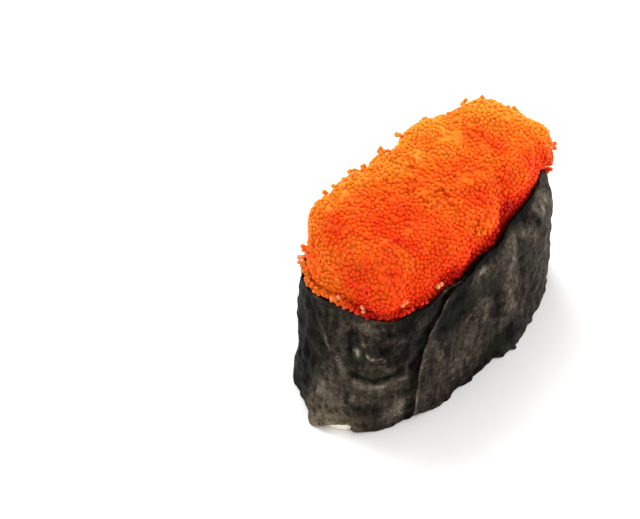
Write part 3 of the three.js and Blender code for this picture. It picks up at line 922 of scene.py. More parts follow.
@dataclass
class NoriWrap:
    """One long strip of nori, rolled once round with its end lapped over its beginning."""

    wall: Wall
    thickness: float = 0.3
    # How far out the lap lies, and over which angle it comes down to the wall.
    lap: float = 0.55
    lap_fade: float = rad(16)
    # How the free edge curls out, at its foot and how much more at the rim, and its reach.
    curl: float = 0.1
    curl_growth: float = 0.12
    curl_reach: float = rad(3.5)
    # The free edge leans: over which angle, and how sharply towards the rim.
    lean_reach: float = rad(45)
    lean_power: int = 4
    # How far its lower corner is lifted, and its upper one: rise, angle from the edge and reach.
    lower_corner: tuple[float, float] = (0.7, rad(5))
    upper_corner: tuple[float, float, float] = (0.2, rad(10), rad(12))
    lowest: float = 0.12
    steps_along: int = 560
    steps_up: int = 86
    # Places at which its length is measured.
    samples: int = 2000
    # How much of a fold is felt at its ends, and how much more in its middle.
    fold_strength: tuple[float, float] = (0.55, 0.45)
    # Wrinkles of the damp sheet: broad lumps, sharp creases, slanting ones and fine crinkle.
    broad: Ripple = Ripple(0.2, (6, 6, 8), 3.1)
    creased: Ripple = Ripple(0.45, (4, 4, 6), 11.7)
    crease_level: float = 0.25
    slanting: Ripple = Ripple(0.3, (2.0, 2.0, 9), 7.3)
    slant: float = 0.5
    crinkles: tuple[Ripple, ...] = (Ripple(0.2, (1.4, 1.4, 1.9), 1.9), Ripple(0.07, (0.6, 0.6, 0.6), 2.9))
    # Grains that push it out from behind, how far the pressed rim stays smoother and how much of the
    # larger wrinkles it keeps, and how far all is drawn in.
    pushed: Ripple = Ripple(0.25, (3.8, 3.8, 2.4), 5.5)
    pushed_level: float = 0.45
    rim_band: float = 5.0
    rim_wrinkled: float = 0.5
    drawn_in: float = 0.15
    # The fraying of its cut edges, which is read off a circle of this radius.
    frays: tuple[Ripple, ...] = (Ripple(0.22, (1.6, 1.6, 1), 2.2), Ripple(0.15, (0.6, 0.6, 1), 9.2))
    fray_radius: float = 30
    rim_fray: float = 0.7
    # Torn points of the lower edge: angle, how far each reaches out, and its spread.
    tips: tuple[tuple[float, float, float], ...] = (
        (rad(178), 0.05, rad(2.5)),
        (rad(194), 0.3, rad(2.0)),
        (rad(286), 0.5, rad(3.0)),
        (rad(297), 0.7, rad(1.2)),
        (rad(318), 0.4, rad(1.5)),
        (rad(255), 0.2, rad(1.0)),
    )
    tip_flare: float = 1.6
    tip_height: float = 1.0
    # A painted highlight along the free edge, and a painted shadow on the sheet beside it: amount, place and
    # width.
    edge_painted_highlight: tuple[float, float] = (0.8, rad(0.8))
    edge_painted_shadow: tuple[float, float, float] = (1.1, rad(2.2), rad(2.6))
    # The collar, darker near the roe: its band under the rim, and how dark, most of all on one side.
    collar_band: tuple[float, float] = (2.4, 0.6)
    collar_dark: float = 0.2
    side_dark: float = 1.4
    side: tuple[float, float, float] = (rad(278), rad(44), rad(10))
    # A painted shadow on the left side: how dark, its middle, and where it comes in and goes out.
    left_painted_shadow: float = 0.9
    left: float = rad(158)
    left_in: tuple[float, float] = (rad(-62), rad(-8))
    left_out: tuple[float, float] = (rad(8), rad(26))
    # The soaked foot of the lifted corner: how olive, angle, width and height.
    soaked: tuple[float, float, float, float] = (0.95, rad(184), rad(9), 4.0)

    def angles_along(self, share: np.ndarray) -> np.ndarray:
        """How far round the strip has travelled at shares of its length.

        Args:
            share: shares of its length from the free edge.

        Returns:
            Radians from the free edge.
        """
        total = FULL_TURN + self.wall.overlap
        fine = np.linspace(0, total, self.samples)
        plan = (self.wall.foot.at(self.wall.seam + fine) + self.wall.rim.at(self.wall.seam + fine)) / 2
        lengths = np.concatenate([[0], np.cumsum(np.linalg.norm(np.diff(plan, axis=0), axis=1))])
        return np.interp(share * lengths[-1], lengths, fine)

    def near_fold(self, fold: Fold, points: np.ndarray) -> np.ndarray:
        """How strongly a fold is felt at places on the wall.

        Args:
            fold: the fold.
            points: the places in millimetres, one a row.

        Returns:
            1 on the fold's line, fading to 0 over its width.
        """
        ends = [self.wall.point(np.array([rad(a)]), np.array([z]), 0.0)[0] for a, z in (fold.start, fold.end)]
        along = ends[1] - ends[0]
        share = np.clip((points - ends[0]) @ along / (along @ along), 0, 1)
        away = np.linalg.norm(points - ends[0] - share[:, None] * along, axis=-1)
        ends_felt, middle_felt = self.fold_strength
        return bump(away, fold.width) * (ends_felt + middle_felt * np.sin(math.pi * share))

    def crumple(self, points: np.ndarray) -> np.ndarray:
        """Wrinkles of the damp sheet: broad lumps, sharp creases, rice showing through and fine crinkle.

        Args:
            points: places on the smooth sheet in millimetres.

        Returns:
            Millimetres outwards.
        """
        crease = self.creased.rise * (self.crease_level - np.abs(self.creased.waves(points)))
        sheared = points + points[:, 2:] * np.array([self.slant, self.slant, 0])
        folds = sum(fold.rise * self.near_fold(fold, points) for fold in FOLDS)
        large = self.broad.lumps(points) + crease + self.slanting.lumps(sheared) + folds
        grains = self.pushed.rise * (self.pushed_level - self.pushed.cells(points))
        crinkle = sum(ripple.lumps(points) for ripple in self.crinkles)
        below_rim = ease(self.wall.height - points[:, 2], 0.0, self.rim_band)
        share = self.rim_wrinkled + (1 - self.rim_wrinkled) * below_rim
        return large * share + grains * below_rim + crinkle - self.drawn_in

    def travelled(self, along: np.ndarray, level: np.ndarray) -> tuple[np.ndarray, np.ndarray]:
        """How far round a part of the strip is.

        Args:
            along: share of its length from the free edge.
            level: share of its height from the foot.

        Returns:
            Radians from the free edge, and the direction from the wall's middle.
        """
        far = self.angles_along(along)
        lean = self.wall.seam_lean * level**self.lean_power * bump(far, self.lean_reach)
        return far, self.wall.seam + far + lean

    def smooth(self, along: np.ndarray, level: np.ndarray) -> tuple[np.ndarray, np.ndarray, np.ndarray]:
        """The strip before it is crumpled: angle, height and offset from the wall.

        Args:
            along: share of its length from the free edge.
            level: share of its height from the foot.

        Returns:
            Radians, and millimetres twice.
        """
        wall = self.wall
        far, angle = self.travelled(along, level)
        settling = ease(far, wall.overlap, wall.overlap + self.lap_fade)
        curl = (self.curl + self.curl_growth * level) * bump(far, self.curl_reach)
        offset = self.lap * (1 - settling) + curl
        edge = self.fray_radius * np.stack([np.cos(angle), np.sin(angle), np.zeros_like(angle)], axis=-1)
        frayed = sum(ripple.rise * np.abs(ripple.waves(edge)) for ripple in self.frays)
        lifted, lift_reach = self.lower_corner
        foot = self.lowest + wall.foot_height(angle) + frayed + lifted * bump(far, lift_reach)
        rise, rise_angle, rise_reach = self.upper_corner
        rim = wall.rim_height(angle) + rise * bump(far - rise_angle, rise_reach) - self.rim_fray * frayed
        height = foot + level * (rim - foot)
        for tip_angle, reach, spread in self.tips:
            torn = bump(turn(angle, tip_angle), spread)
            offset = offset + reach * torn * bump(height, self.tip_flare)
            height = height + (self.lowest - height) * torn * bump(height, self.tip_height)
        return angle, height, offset

    def place(self, along: np.ndarray, level: np.ndarray) -> np.ndarray:
        """Places of the strip's outer face.

        Args:
            along: share of its length from the free edge.
            level: share of its height from the foot.

        Returns:
            X, Y and Z in millimetres, one point a row.
        """
        angle, height, offset = self.smooth(along, level)
        smooth = self.wall.point(angle, height, offset)
        return self.wall.point(angle, height, offset + self.crumple(smooth))

    def tone(self, along: np.ndarray, level: np.ndarray) -> np.ndarray:
        """How pale the sheet is, with painted light: along folds, a painted highlight at its free edge and a
        painted shadow beside it, darker under the rim, and a painted shadow on the left.

        Args:
            along: share of its length from the free edge.
            level: share of its height from the foot.

        Returns:
            About -1 for dark to 1 for pale.
        """
        angle, height, offset = self.smooth(along, level)
        points = self.wall.point(angle, height, offset)
        far, _ = self.travelled(along, level)
        tone = sum(fold.tone * self.near_fold(fold, points) for fold in FOLDS)
        beside = far - FULL_TURN - self.wall.seam_lean * level**self.lean_power
        # A painted highlight along the free edge and a painted shadow beside it.
        pale, pale_width = self.edge_painted_highlight
        dark, dark_place, dark_width = self.edge_painted_shadow
        tone = tone + pale * bump(far, pale_width) - dark * bump(beside + dark_place, dark_width)
        collar = ease(height, *(self.wall.height - below for below in self.collar_band))
        centre, reach, margin = self.side
        side = window(turn(angle, centre), reach, margin)
        left = turn(angle, self.left)
        # A painted shadow on the left side.
        left_shadow = ease(left, *self.left_in) * (1 - ease(left, *self.left_out))
        return tone - (self.collar_dark + self.side_dark * side) * collar - self.left_painted_shadow * left_shadow

    def build(self, finish: bpy.types.Material) -> bpy.types.Object:
        """Makes the strip and dresses it.

        Args:
            finish: the nori's material.

        Returns:
            The piece.
        """
        bm, shares = moved_grid(self.steps_along, self.steps_up, self.place)
        bmesh.ops.recalc_face_normals(bm, faces=bm.faces)
        made = mesh_object("nori_strip", bm)
        along, level = shares.T
        angle, height, _ = self.smooth(along, level)
        amount, centre, width, high = self.soaked
        olive = amount * bump(turn(angle, centre), width) * bump(height, high)
        for name, value in (("tone", self.tone(along, level)), ("olive", olive)):
            made.data.attributes.new(name, "FLOAT", "POINT").data.foreach_set("value", value)
        body = made.modifiers.new("sheet", "SOLIDIFY")
        body.thickness = self.thickness * MM
        body.offset = -1
        return settle(made, finish, Node.NORI)


# --- rice ---------------------------------------------------------------------------------


@dataclass
class RiceBlock:
    """The pressed block, with whole grains where it shows: round its foot and underneath."""

    wall: Wall
    top: float = 20.8
    # The core's steps round and up, and how near its points are welded.
    core_steps: tuple[int, int] = (220, 60)
    core_weld: float = 1e-4
    # A grain's length, width and height, how blunt one end is, and how far it is bent.
    grain: tuple[float, float, float] = (5.2, 2.6, 2.2)
    blunt: float = 0.25
    bend: float = 0.12
    # Relief of the core's underside: low lumps a grain apart, up to this share of the way over it.
    lumps: Ripple = Ripple(0.3, (3.4, 3.4, 2.6), 4.4)
    lumpy_share: float = 0.35
    # Grains round the foot and underneath: how many, how high they lie and how far in, with the spread.
    edge_grains: int = 58
    edge_inset: tuple[float, float] = (2.7, 0.5)
    under_grains: int = 210
    under_inset: float = 2.4
    lying: float = 1.15
    edge_spread: float = 0.9
    under_spread: float = 0.25
    # How their headings, their sizes and their tips differ.
    heading_spread: float = 0.5
    sizes: tuple[float, float] = (0.88, 0.22)
    tip_spread: float = 0.06
    seed: int = 31
    # Grains at the nori's lifted corner, which it leaves bare: angle, height, inset and heading.
    bare_grains: tuple[tuple[float, float, float, float], ...] = (
        (rad(186.2), 1.15, 1.15, rad(285)),
        (rad(189.0), 1.2, 1.6, rad(270)),
        (rad(183.5), 1.2, 1.9, rad(262)),
    )

    def place(self, around: np.ndarray, row: np.ndarray) -> np.ndarray:
        """Places of the core, from the middle of its underside up its side to the middle of its top.

        Args:
            around: share of a full turn.
            row: 0 in the middle underneath, 1 in the middle on top.

        Returns:
            X, Y and Z in millimetres, one point a row.
        """
        # Middle and edge underneath, foot and head of the side, then edge and middle on top.
        stations = [0.0, 0.3, 0.4, 0.75, 0.82, 1.0]
        height = np.interp(row, stations, [0.9, 0.9, 2.2, self.top - 1, self.top, self.top])
        inset = np.interp(row, stations, [2.2, 2.2, 1.3, 1.3, 2.4, 2.4])
        points = self.wall.point(around * FULL_TURN, height, -inset)
        points[:, :2] *= np.interp(row, stations, [0, 1, 1, 1, 1, 0])[:, None]
        relief = self.lumps.rise * (0.5 - self.lumps.cells(points))
        points[:, 2] += np.where(row < self.lumpy_share, -relief, 0)
        return points

    def template(self) -> bmesh.types.BMesh:
        """One grain: a long drop, blunt at one end, slightly bent.

        Returns:
            Its mesh, in millimetres round its own middle.
        """
        bm = bmesh.new()
        bmesh.ops.create_icosphere(bm, subdivisions=2, radius=0.5)
        for vert in bm.verts:
            thickness = 1 - self.blunt * vert.co.x
            vert.co.y = vert.co.y * thickness + self.bend * vert.co.x**2
            vert.co.z *= thickness
        bmesh.ops.scale(bm, vec=self.grain, verts=bm.verts)
        return bm

    def grains(self) -> tuple[np.ndarray, np.ndarray]:
        """Where each grain lies and how it is turned.

        Returns:
            Places in millimetres, and a 3 by 3 turn and scale for each.
        """
        rng = np.random.default_rng(self.seed)
        edge_angle = np.arange(self.edge_grains) / self.edge_grains * FULL_TURN
        edge_height = self.lying + self.edge_spread * rng.random(self.edge_grains)
        least, more = self.edge_inset
        edge = self.wall.point(edge_angle, edge_height, -(least + more * rng.random(self.edge_grains)))
        count = np.arange(self.under_grains)
        spread = np.sqrt((count + 0.5) / self.under_grains)
        flat = np.full(self.under_grains, self.lying)
        ring = self.wall.point(count * GOLDEN_ANGLE, flat, -self.under_inset)
        under = ring * np.stack([spread, spread, np.ones_like(spread)], axis=-1)
        under[:, 2] += self.under_spread * rng.random(self.under_grains)
        angle, height, inset, bare_heading = np.array(self.bare_grains).T
        bare = self.wall.point(angle, height, -inset)
        places = np.concatenate([edge, under, bare])
        edge_heading = edge_angle + rad(90) + rng.normal(0, self.heading_spread, self.edge_grains)
        under_heading = rng.random(self.under_grains) * FULL_TURN
        heading = np.concatenate([edge_heading, under_heading, bare_heading])
        smallest, growth = self.sizes
        scales = smallest + growth * rng.random(len(places))
        tips = rng.normal(0, self.tip_spread, len(places))
        rolls = rng.random(len(places)) * FULL_TURN
        turned = [np.array(Euler(angles).to_matrix()) for angles in zip(rolls, tips, heading)]
        return places, np.array(turned) * scales[:, None, None]

    def build(self, finish: bpy.types.Material) -> list[bpy.types.Object]:
        """Makes the core and its grains and dresses them.

        Args:
            finish: the rice's material.

        Returns:
            The pieces.
        """
        bm, _ = moved_grid(*self.core_steps, self.place)
        close_up(bm, self.core_weld)
        core = mesh_object("rice_core", bm)
        places, turns = self.grains()
        grains = joined_copies("rice_grains", self.template(), places, turns, np.zeros(len(places)))
        return [settle(piece, finish, Node.RICE) for piece in (core, grains)]


# --- roe ----------------------------------------------------------------------------------


@dataclass(frozen=True)
class Tuft:
    """A few eggs piled up where the heap's edge is ragged."""

    angle: float
    row: float
    eggs: int
    reach: float


@dataclass(frozen=True)
class Spill:
    """Eggs that lie on the collar or hang over it: round where, how high over the rim and how far out."""

    angle: float
    spread: float
    eggs: int
    above: tuple[float, float]
    out: tuple[float, float]


@dataclass
class RoeHeap:
    """The heap of eggs: a relief core, a packed layer of whole eggs on it, and loose ones on top."""

    wall: Wall
    egg: float = 0.88
    rice_top: float = 20.8
    # The ridge over the collar, how it falls along the length and leans across, and how square
    # the heap's side is and how far its ridge is drawn in.
    rise: float = 10.0
    slope: float = -0.3
    lean: float = 0.2
    boxiness: float = 3.8
    taper: float = 0.68
    # Places at which the arc up its side is measured, at first and once they are even.
    arc_samples: tuple[int, int] = (2001, 801)
    # Places of clumps are counted in this many rows from the rim to the ridge.
    rows: int = 15
    # How far inside the nori's face the foot lies, and where it reaches out: along one end, in a
    # tongue that hangs over it, and on the far side.
    inset: float = 1.15
    end_reach: float = 1.25
    end_angle: float = rad(10)
    end_power: int = 4
    tongue: tuple[float, float, float] = (2.0, rad(353), rad(10))
    side_reach: float = 0.3
    # The foot over the rim, and how far down in the collar it is where it lies this far inside.
    foot_above: float = 0.4
    foot_sunk: float = 1.2
    sunk_where: tuple[float, float] = (0.8, 1.1)
    # Shallow furrows: rise, how many round, how they climb, and phase. They fade towards the ridge.
    furrows: tuple[tuple[float, int, int, float], ...] = ((0.25, 7, 9, 0.0), (0.2, 12, -14, 1.0))
    ridge_fade: tuple[float, float] = (0.65, 0.95)
    # How fast the furrows grow in above the foot, and the clumps fade out below it.
    furrow_growth: float = 6
    clump_fade: float = 8
    # Small lumps of a few eggs.
    swells: tuple[Ripple, ...] = (Ripple(0.32, (3.2, 3.2, 3.2), 1.7), Ripple(0.13, (1.4, 1.4, 1.4), 4.1))
    # The surface that the eggs are packed under: its steps, and how far it goes down in the collar.
    skin_steps: tuple[int, int] = (240, 90)
    skin_below: float = 0.06
    # The packed eggs: how many, how thick their layer is, and how deep in it they start and differ.
    count: int = 5000
    layer: float = 0.8
    sunk: tuple[float, float] = (0.2, 0.1)
    size_spread: float = 0.06
    # How far the box that they are scattered in reaches past the rim, at its low and high corners.
    box_low: tuple[float, float, float] = (1, 1, 1.5)
    box_high: tuple[float, float, float] = (3, 1, 14)
    # The core under them: its steps, the share of them that its underside takes, how deep it lies,
    # how far it keeps from the nori, and how deep the spots between eggs are as a share of one.
    core_steps: tuple[int, int] = (300, 130)
    core_floor: float = 0.08
    sunk_core: float = 0.37
    core_gap: float = 0.3
    spots: float = 0.15
    spots_seed: float = 8.8
    # How near points of a closed mesh are welded.
    weld: float = 1e-3
    # Packing: rounds, how far a neighbour is looked for as a share of an egg, the share of touching
    # distance that is kept, the part of an overlap that is undone in a round, and the longest step
    # and shortest distance that count.
    rounds: int = 22
    neighbour_reach: float = 1.1
    nearness: float = 0.9
    yielding: float = 0.42
    longest_step: float = 0.3
    least_gap: float = 0.05
    # Single eggs on top: how many, the rows that they lie on and how high, with the spread.
    loose: int = 150
    loose_rows: tuple[float, float] = (0.1, 0.85)
    loose_lift: tuple[float, float] = (0.1, 0.3)
    tuft_spread: tuple[float, float] = (rad(3.2), 0.05)
    tuft_lift: float = 0.2
    piled_spread: float = 0.05
    squash: float = 0.05
    stray_sizes: tuple[float, float] = (1.05, 0.15)
    # An egg of the layer that lies past this overhang hangs outside the nori.
    hanging: float = 0.6
    seed: int = 17
    # Clumps that stand out of the heap: angle, row counted from the rim, rise and spread.
    clumps: tuple[tuple[float, float, float, float], ...] = (
        (rad(147), 5, 1.2, 3.5),
        (rad(128), 6, 0.8, 4),
        (rad(88), 5, 0.5, 3.5),
        (rad(46), 7, 1.5, 4.5),
        (rad(16), 6, 1.8, 4.5),
        (rad(200), 3, 0.6, 3),
        (rad(255), 4, 0.6, 4),
        (rad(292), 3, 0.25, 3),
        (rad(335), 5, 0.4, 4),
        (rad(307), 1.8, -0.55, 2.2),
    )
    tufts: tuple[Tuft, ...] = (
        Tuft(rad(132), 0.30, 6, 1.1),
        Tuft(rad(112), 0.34, 5, 1.0),
        Tuft(rad(98), 0.30, 4, 0.8),
        Tuft(rad(78), 0.36, 7, 1.3),
        Tuft(rad(58), 0.34, 5, 1.0),
        Tuft(rad(40), 0.30, 6, 1.1),
        Tuft(rad(24), 0.28, 5, 1.0),
        Tuft(rad(8), 0.22, 6, 1.0),
        Tuft(rad(356), 0.10, 7, 0.85),
        Tuft(rad(350), 0.04, 7, 1.1),
        Tuft(rad(152), 0.16, 5, 0.9),
        Tuft(rad(160), 0.28, 4, 0.7),
    )
    spills: tuple[Spill, ...] = (
        Spill(rad(347), rad(2.6), 60, (-1.7, 1.6), (0.5, 1.6)),
        Spill(rad(165), rad(9), 46, (0.0, 0.9), (-1.0, 0.1)),
        Spill(rad(187), rad(10), 52, (0.1, 0.9), (-1.0, 0.0)),
        Spill(rad(209), rad(7), 16, (0.2, 0.8), (-1.2, -0.4)),
    )
    # Pale eggs that have rolled to the edge: angle, height above the rim and inset from the nori's face.
    strays: tuple[tuple[float, float, float], ...] = (
        (rad(152), 0.5, -0.8),
        (rad(154), 0.3, -0.6),
        (rad(153), 1.1, -0.2),
        (rad(177.5), 0.6, 0.3),
        (rad(179.5), 1.0, 0.7),
        (rad(189.5), 0.6, 0.2),
        (rad(191.5), 0.9, 0.5),
        (rad(190.5), 1.4, 1.0),
        (rad(209.5), 2.0, 1.2),
        (rad(211.5), 2.2, 1.3),
        (rad(233.5), 1.0, 1.0),
        (rad(231.5), 0.9, 1.1),
    )
    # Redder and more amber places: X, Y, how far they reach and the change of tint.
    blushes: tuple[tuple[float, float, float, float], ...] = (
        (-11.6, -6.9, 1.5, -0.4),
        (-13.0, -4.3, 0.9, -0.25),
        (-10.3, -3.0, 3.2, -0.16),
        (-20.0, -3.5, 4.5, 0.08),
        (12.4, -7.1, 2.4, -0.08),
        (6.0, -1.5, 4.5, 0.16),
        (0.0, 2.0, 3.5, 0.12),
        (-16.5, 8.2, 3.5, -0.24),
        (-21.5, -4.5, 3.2, -0.26),
        (-22.0, 2.5, 2.8, 0.2),
        (-19.5, -0.8, 2.4, 0.16),
        (11.5, -4.5, 3.0, 0.14),
        (3.0, -9.2, 2.2, 0.15),
        (-13.5, -8.6, 2.4, 0.14),
        (-4.0, -3.7, 3.0, 0.18),
        (18.0, -3.5, 3.5, 0.12),
    )
    # Tints, from 0 for red to 1 for amber: what all eggs share, and what each place adds. The back
    # and the far end are amber, as painted light coming through the eggs from behind, and redder, as
    # painted shade, are the eggs low on the near side and along the shaded rim, with a painted shadow
    # in the hollow; redder too are those low on the side that faces away.
    ground_tint: float = 0.465
    back_painted_light: float = 0.5
    back_span: tuple[float, float] = (-0.15, 0.95)
    back_slant: float = 0.25
    far_painted_light: float = 0.5
    far_span: tuple[float, float] = (18, 26)
    far_across: tuple[float, float] = (-8, -3)
    near_painted_shade: float = -0.1
    near_level: tuple[float, float] = (0.0, 0.5)
    near_span: tuple[float, float] = (-0.6, 0.1)
    rim_painted_shade: float = -0.32
    rim_level: tuple[float, float] = (0.05, 0.42)
    rim_window: tuple[float, float, float] = (rad(268), rad(58), rad(24))
    hollow_painted_shadow: float = -0.7
    hollow: tuple[float, float, float] = (rad(307), 0.12, 2.4)
    away_tint: float = -0.3
    away_level: tuple[float, float] = (0.0, 0.95)
    away_window: tuple[float, float, float] = (rad(70), rad(58), rad(28))
    patches: tuple[Ripple, ...] = (Ripple(0.24, (5, 5, 5), 6.6), Ripple(0.1, (2.4, 2.4, 2.4), 2.6))
    egg_tint_spread: float = 0.035
    # Painted light: the core is tinted more amber than the eggs over it, so the gaps between them glow as if
    # lit through the eggs.
    core_painted_glow: float = 0.1
    arc: np.ndarray = field(init=False)
    arc_length: float = field(init=False)

    def __post_init__(self) -> None:
        """Works out the arc up the heap's side and over to its ridge, evenly spaced along it."""
        measured, evened = self.arc_samples
        swing = np.linspace(0, math.pi / 2, measured)
        power = 2 / self.boxiness
        steepness = self.rise / self.wall.rim.half
        rough = np.stack([1 - np.cos(swing) ** power, steepness * np.sin(swing) ** power], axis=-1)
        lengths = np.concatenate([[0], np.cumsum(np.linalg.norm(np.diff(rough, axis=0), axis=1))])
        even = np.linspace(0, lengths[-1], evened)
        self.arc = np.stack([np.interp(even, lengths, rough[:, k]) for k in (0, 1)], axis=-1)
        self.arc_length = lengths[-1] * self.wall.rim.half

    def overhang(self, angle: np.ndarray) -> np.ndarray:
        """How far the heap's foot reaches past the nori's outer face.

        Args:
            angle: direction from the middle.

        Returns:
            Millimetres outwards.
        """
        end = self.end_reach * np.maximum(np.cos(angle - self.end_angle), 0) ** self.end_power
        reach, centre, width = self.tongue
        end = end + reach * bump(turn(angle, centre), width)
        return -self.inset + end + self.side_reach * np.maximum(np.sin(angle), 0)

    def foot(self, angle: np.ndarray) -> np.ndarray:
        """Level of the heap's foot: down in the collar, or above the nori that it overhangs."""
        sunk = self.foot_sunk * ease(-self.overhang(angle), *self.sunk_where)
        return self.wall.rim_height(angle) + self.foot_above - sunk

    def smooth(self, angle: np.ndarray, row: np.ndarray) -> np.ndarray:
        """Points of the heap's smooth surface.

        Args:
            angle: direction from the middle.
            row: 0 at the foot, 1 on the ridge, less than 0 down in the collar.

        Returns:
            X, Y and Z in millimetres, one point a row.
        """
        share = np.clip(row, 0, 1) * (len(self.arc) - 1)
        inward = np.interp(share, np.arange(len(self.arc)), self.arc[:, 0])
        up = np.interp(share, np.arange(len(self.arc)), self.arc[:, 1])
        plan = self.wall.rim.at(angle, inward, self.taper)
        top = np.full_like(angle, self.wall.height)
        out = (self.overhang(angle) + self.wall.relief(angle, top)) * (1 - inward)
        plan += self.wall.normal(angle, np.ones_like(angle)) * out[..., None]
        slope = 1 + self.slope * plan[..., 0] / self.wall.rim.back
        slope += self.lean * plan[..., 1] / self.wall.rim.half
        foot = self.foot(angle)
        rise = (self.wall.height + self.rise * slope - foot) / self.rise
        height = foot + self.wall.rim.half * up * rise + np.minimum(row, 0) * self.arc_length
        return np.concatenate([plan, height[..., None]], axis=-1)

    def normal(self, angle: np.ndarray, row: np.ndarray) -> np.ndarray:
        """The way out of the heap's smooth surface.

        Args:
            angle: direction from the middle.
            row: 0 at the foot, 1 on the ridge.

        Returns:
            X, Y and Z of length 1, one a row.
        """
        step, swing, highest = 0.03, 0.02, 0.9
        low = np.clip(row - step, -10 * step, highest)
        rise = self.smooth(angle, low + 2 * step) - self.smooth(angle, low)
        out = np.cross(self.smooth(angle + swing, row) - self.smooth(angle - swing, row), rise)
        return out / np.maximum(np.linalg.norm(out, axis=-1, keepdims=True), 1e-9)

    def surface(self, angle: np.ndarray, row: np.ndarray, lift: np.ndarray | float = 0.0) -> np.ndarray:
        """Points of the heap with its clumps, moved out by a lift.

        Args:
            angle: direction from the middle.
            row: 0 at the foot, 1 on the ridge.
            lift: millimetres out of the surface.

        Returns:
            X, Y and Z in millimetres, one point a row.
        """
        here = self.smooth(angle, row)
        out = sum(
            rise * np.sin(waves * angle + climb * row + phase) for rise, waves, climb, phase in self.furrows
        )
        out = out * (np.clip(self.furrow_growth * row, 0, 1) * (1 - ease(row, *self.ridge_fade)))
        for clump_angle, clump_row, clump_rise, spread in self.clumps:
            centre = self.smooth(np.array([clump_angle]), np.array([clump_row / self.rows]))
            away = np.linalg.norm(here - centre, axis=-1)
            out = out + clump_rise * bump(away, spread) * np.clip(1 + self.clump_fade * row, 0, 1)
        return here + self.normal(angle, row) * (out + lift)[..., None]

    def swell(self, points: np.ndarray) -> np.ndarray:
        """How far the heap stands out in small lumps of a few eggs, in millimetres."""
        return sum(ripple.lumps(points) for ripple in self.swells)

    def skin(self) -> bmesh.types.BMesh:
        """The heap's surface as a mesh, from down in the collar up to the ridge.

        Returns:
            The mesh, in millimetres.
        """

        def place(around: np.ndarray, up: np.ndarray) -> np.ndarray:
            """Places up the heap's side."""
            return self.surface(around * FULL_TURN, -self.skin_below + (1 + self.skin_below) * up)

        bm, _ = moved_grid(*self.skin_steps, place)
        bmesh.ops.remove_doubles(bm, verts=bm.verts, dist=self.weld)
        bmesh.ops.recalc_face_normals(bm, faces=bm.faces)
        return bm

    def core(self) -> bmesh.types.BMesh:
        """What the eggs lie on: a closed solid down to the rice, bumpy at the size of the eggs.

        Returns:
            The mesh, in millimetres.
        """
        floor = self.core_floor
        inset = self.wall.sheet + self.wall.clearance + self.core_gap
        spots = Ripple(self.spots * self.egg, (self.egg,) * 3, self.spots_seed)

        def place(around: np.ndarray, up: np.ndarray) -> np.ndarray:
            """Places out along the flat underside, then up and over.

            Args:
                around: share of a full turn.
                up: 0 in the middle underneath, 1 on the ridge.

            Returns:
                X, Y and Z in millimetres, one point a row.
            """
            angle = around * FULL_TURN
            under = self.wall.point(angle, np.full_like(angle, self.rice_top + self.wall.clearance), -inset)
            under[:, :2] *= np.clip(up / floor, 0, 1)[:, None]
            row = (up - floor) / (1 - floor)
            over = self.surface(angle, row, -self.sunk_core)
            between = spots.rise * (0.5 - spots.cells(over))
            over = self.surface(angle, row, self.swell(over) + between - self.sunk_core)
            return np.where((up <= floor)[:, None], under, over)

        bm, _ = moved_grid(*self.core_steps, place)
        close_up(bm, self.weld)
        return bm

    def scatter(self, skin: BVHTree, rng: np.random.Generator) -> np.ndarray:
        """Random places in the layer under the heap's surface.

        Args:
            skin: the surface.
            rng: the random numbers.

        Returns:
            The places in millimetres.
        """
        rim = self.wall.rim
        low = np.array([-rim.front, -rim.half, self.wall.height]) - self.box_low
        high = np.array([rim.back, rim.half, self.wall.height]) + self.box_high
        found: list[np.ndarray] = []
        while len(found) < self.count:
            place = low + rng.random(3) * (high - low)
            spot, normal, _, _ = skin.find_nearest(Vector(place))
            depth = (spot - Vector(place)).dot(normal)
            if 0 < depth < self.layer:
                found.append(place)
        return np.array(found)

    def pack(self, skin: BVHTree, places: np.ndarray, radii: np.ndarray, sunk: np.ndarray) -> np.ndarray:
        """Pushes overlapping eggs apart and keeps them in the layer.

        Args:
            skin: the heap's surface.
            places: where the eggs start, in millimetres.
            radii: their radii.
            sunk: the least depth of each egg's middle under the surface.

        Returns:
            Where they end.
        """
        for _ in range(self.rounds):
            tree = KDTree(len(places))
            for k, place in enumerate(places):
                tree.insert(place, k)
            tree.balance()
            push = np.zeros_like(places)
            for k, place in enumerate(places):
                for other, j, gap in tree.find_range(place, self.egg * self.neighbour_reach):
                    want = self.nearness * (radii[k] + radii[j])
                    if j != k and gap < want:
                        away = (place - np.array(other)) / max(gap, self.least_gap)
                        push[k] += away * (want - gap) * self.yielding
            places = places + np.clip(push, -self.longest_step, self.longest_step)
            for k, place in enumerate(places):
                spot, normal, _, _ = skin.find_nearest(Vector(place))
                depth = (spot - Vector(place)).dot(normal)
                wanted = min(max(depth, sunk[k]), self.layer)
                places[k] = place + np.array(normal) * (depth - wanted)
        return places

    def piled(self, rng: np.random.Generator) -> np.ndarray:
        """Eggs that stand on the layer: the ragged tufts, and single ones all over.

        Args:
            rng: the random numbers.

        Returns:
            Their places in millimetres.
        """
        angles, rows, lifts = [], [], []
        aside, up = self.tuft_spread
        for tuft in self.tufts:
            for k in range(tuft.eggs):
                spread = 1 - k / tuft.eggs
                angles.append(tuft.angle + aside * spread * rng.normal())
                rows.append(tuft.row + up * spread * rng.normal())
                lifts.append(self.tuft_lift + tuft.reach * k / tuft.eggs)
        angles.extend(FULL_TURN * rng.random(self.loose))
        for values, (least, more) in ((rows, self.loose_rows), (lifts, self.loose_lift)):
            values.extend(least + more * rng.random(self.loose))
        return self.surface(np.array(angles), np.array(rows), np.array(lifts))

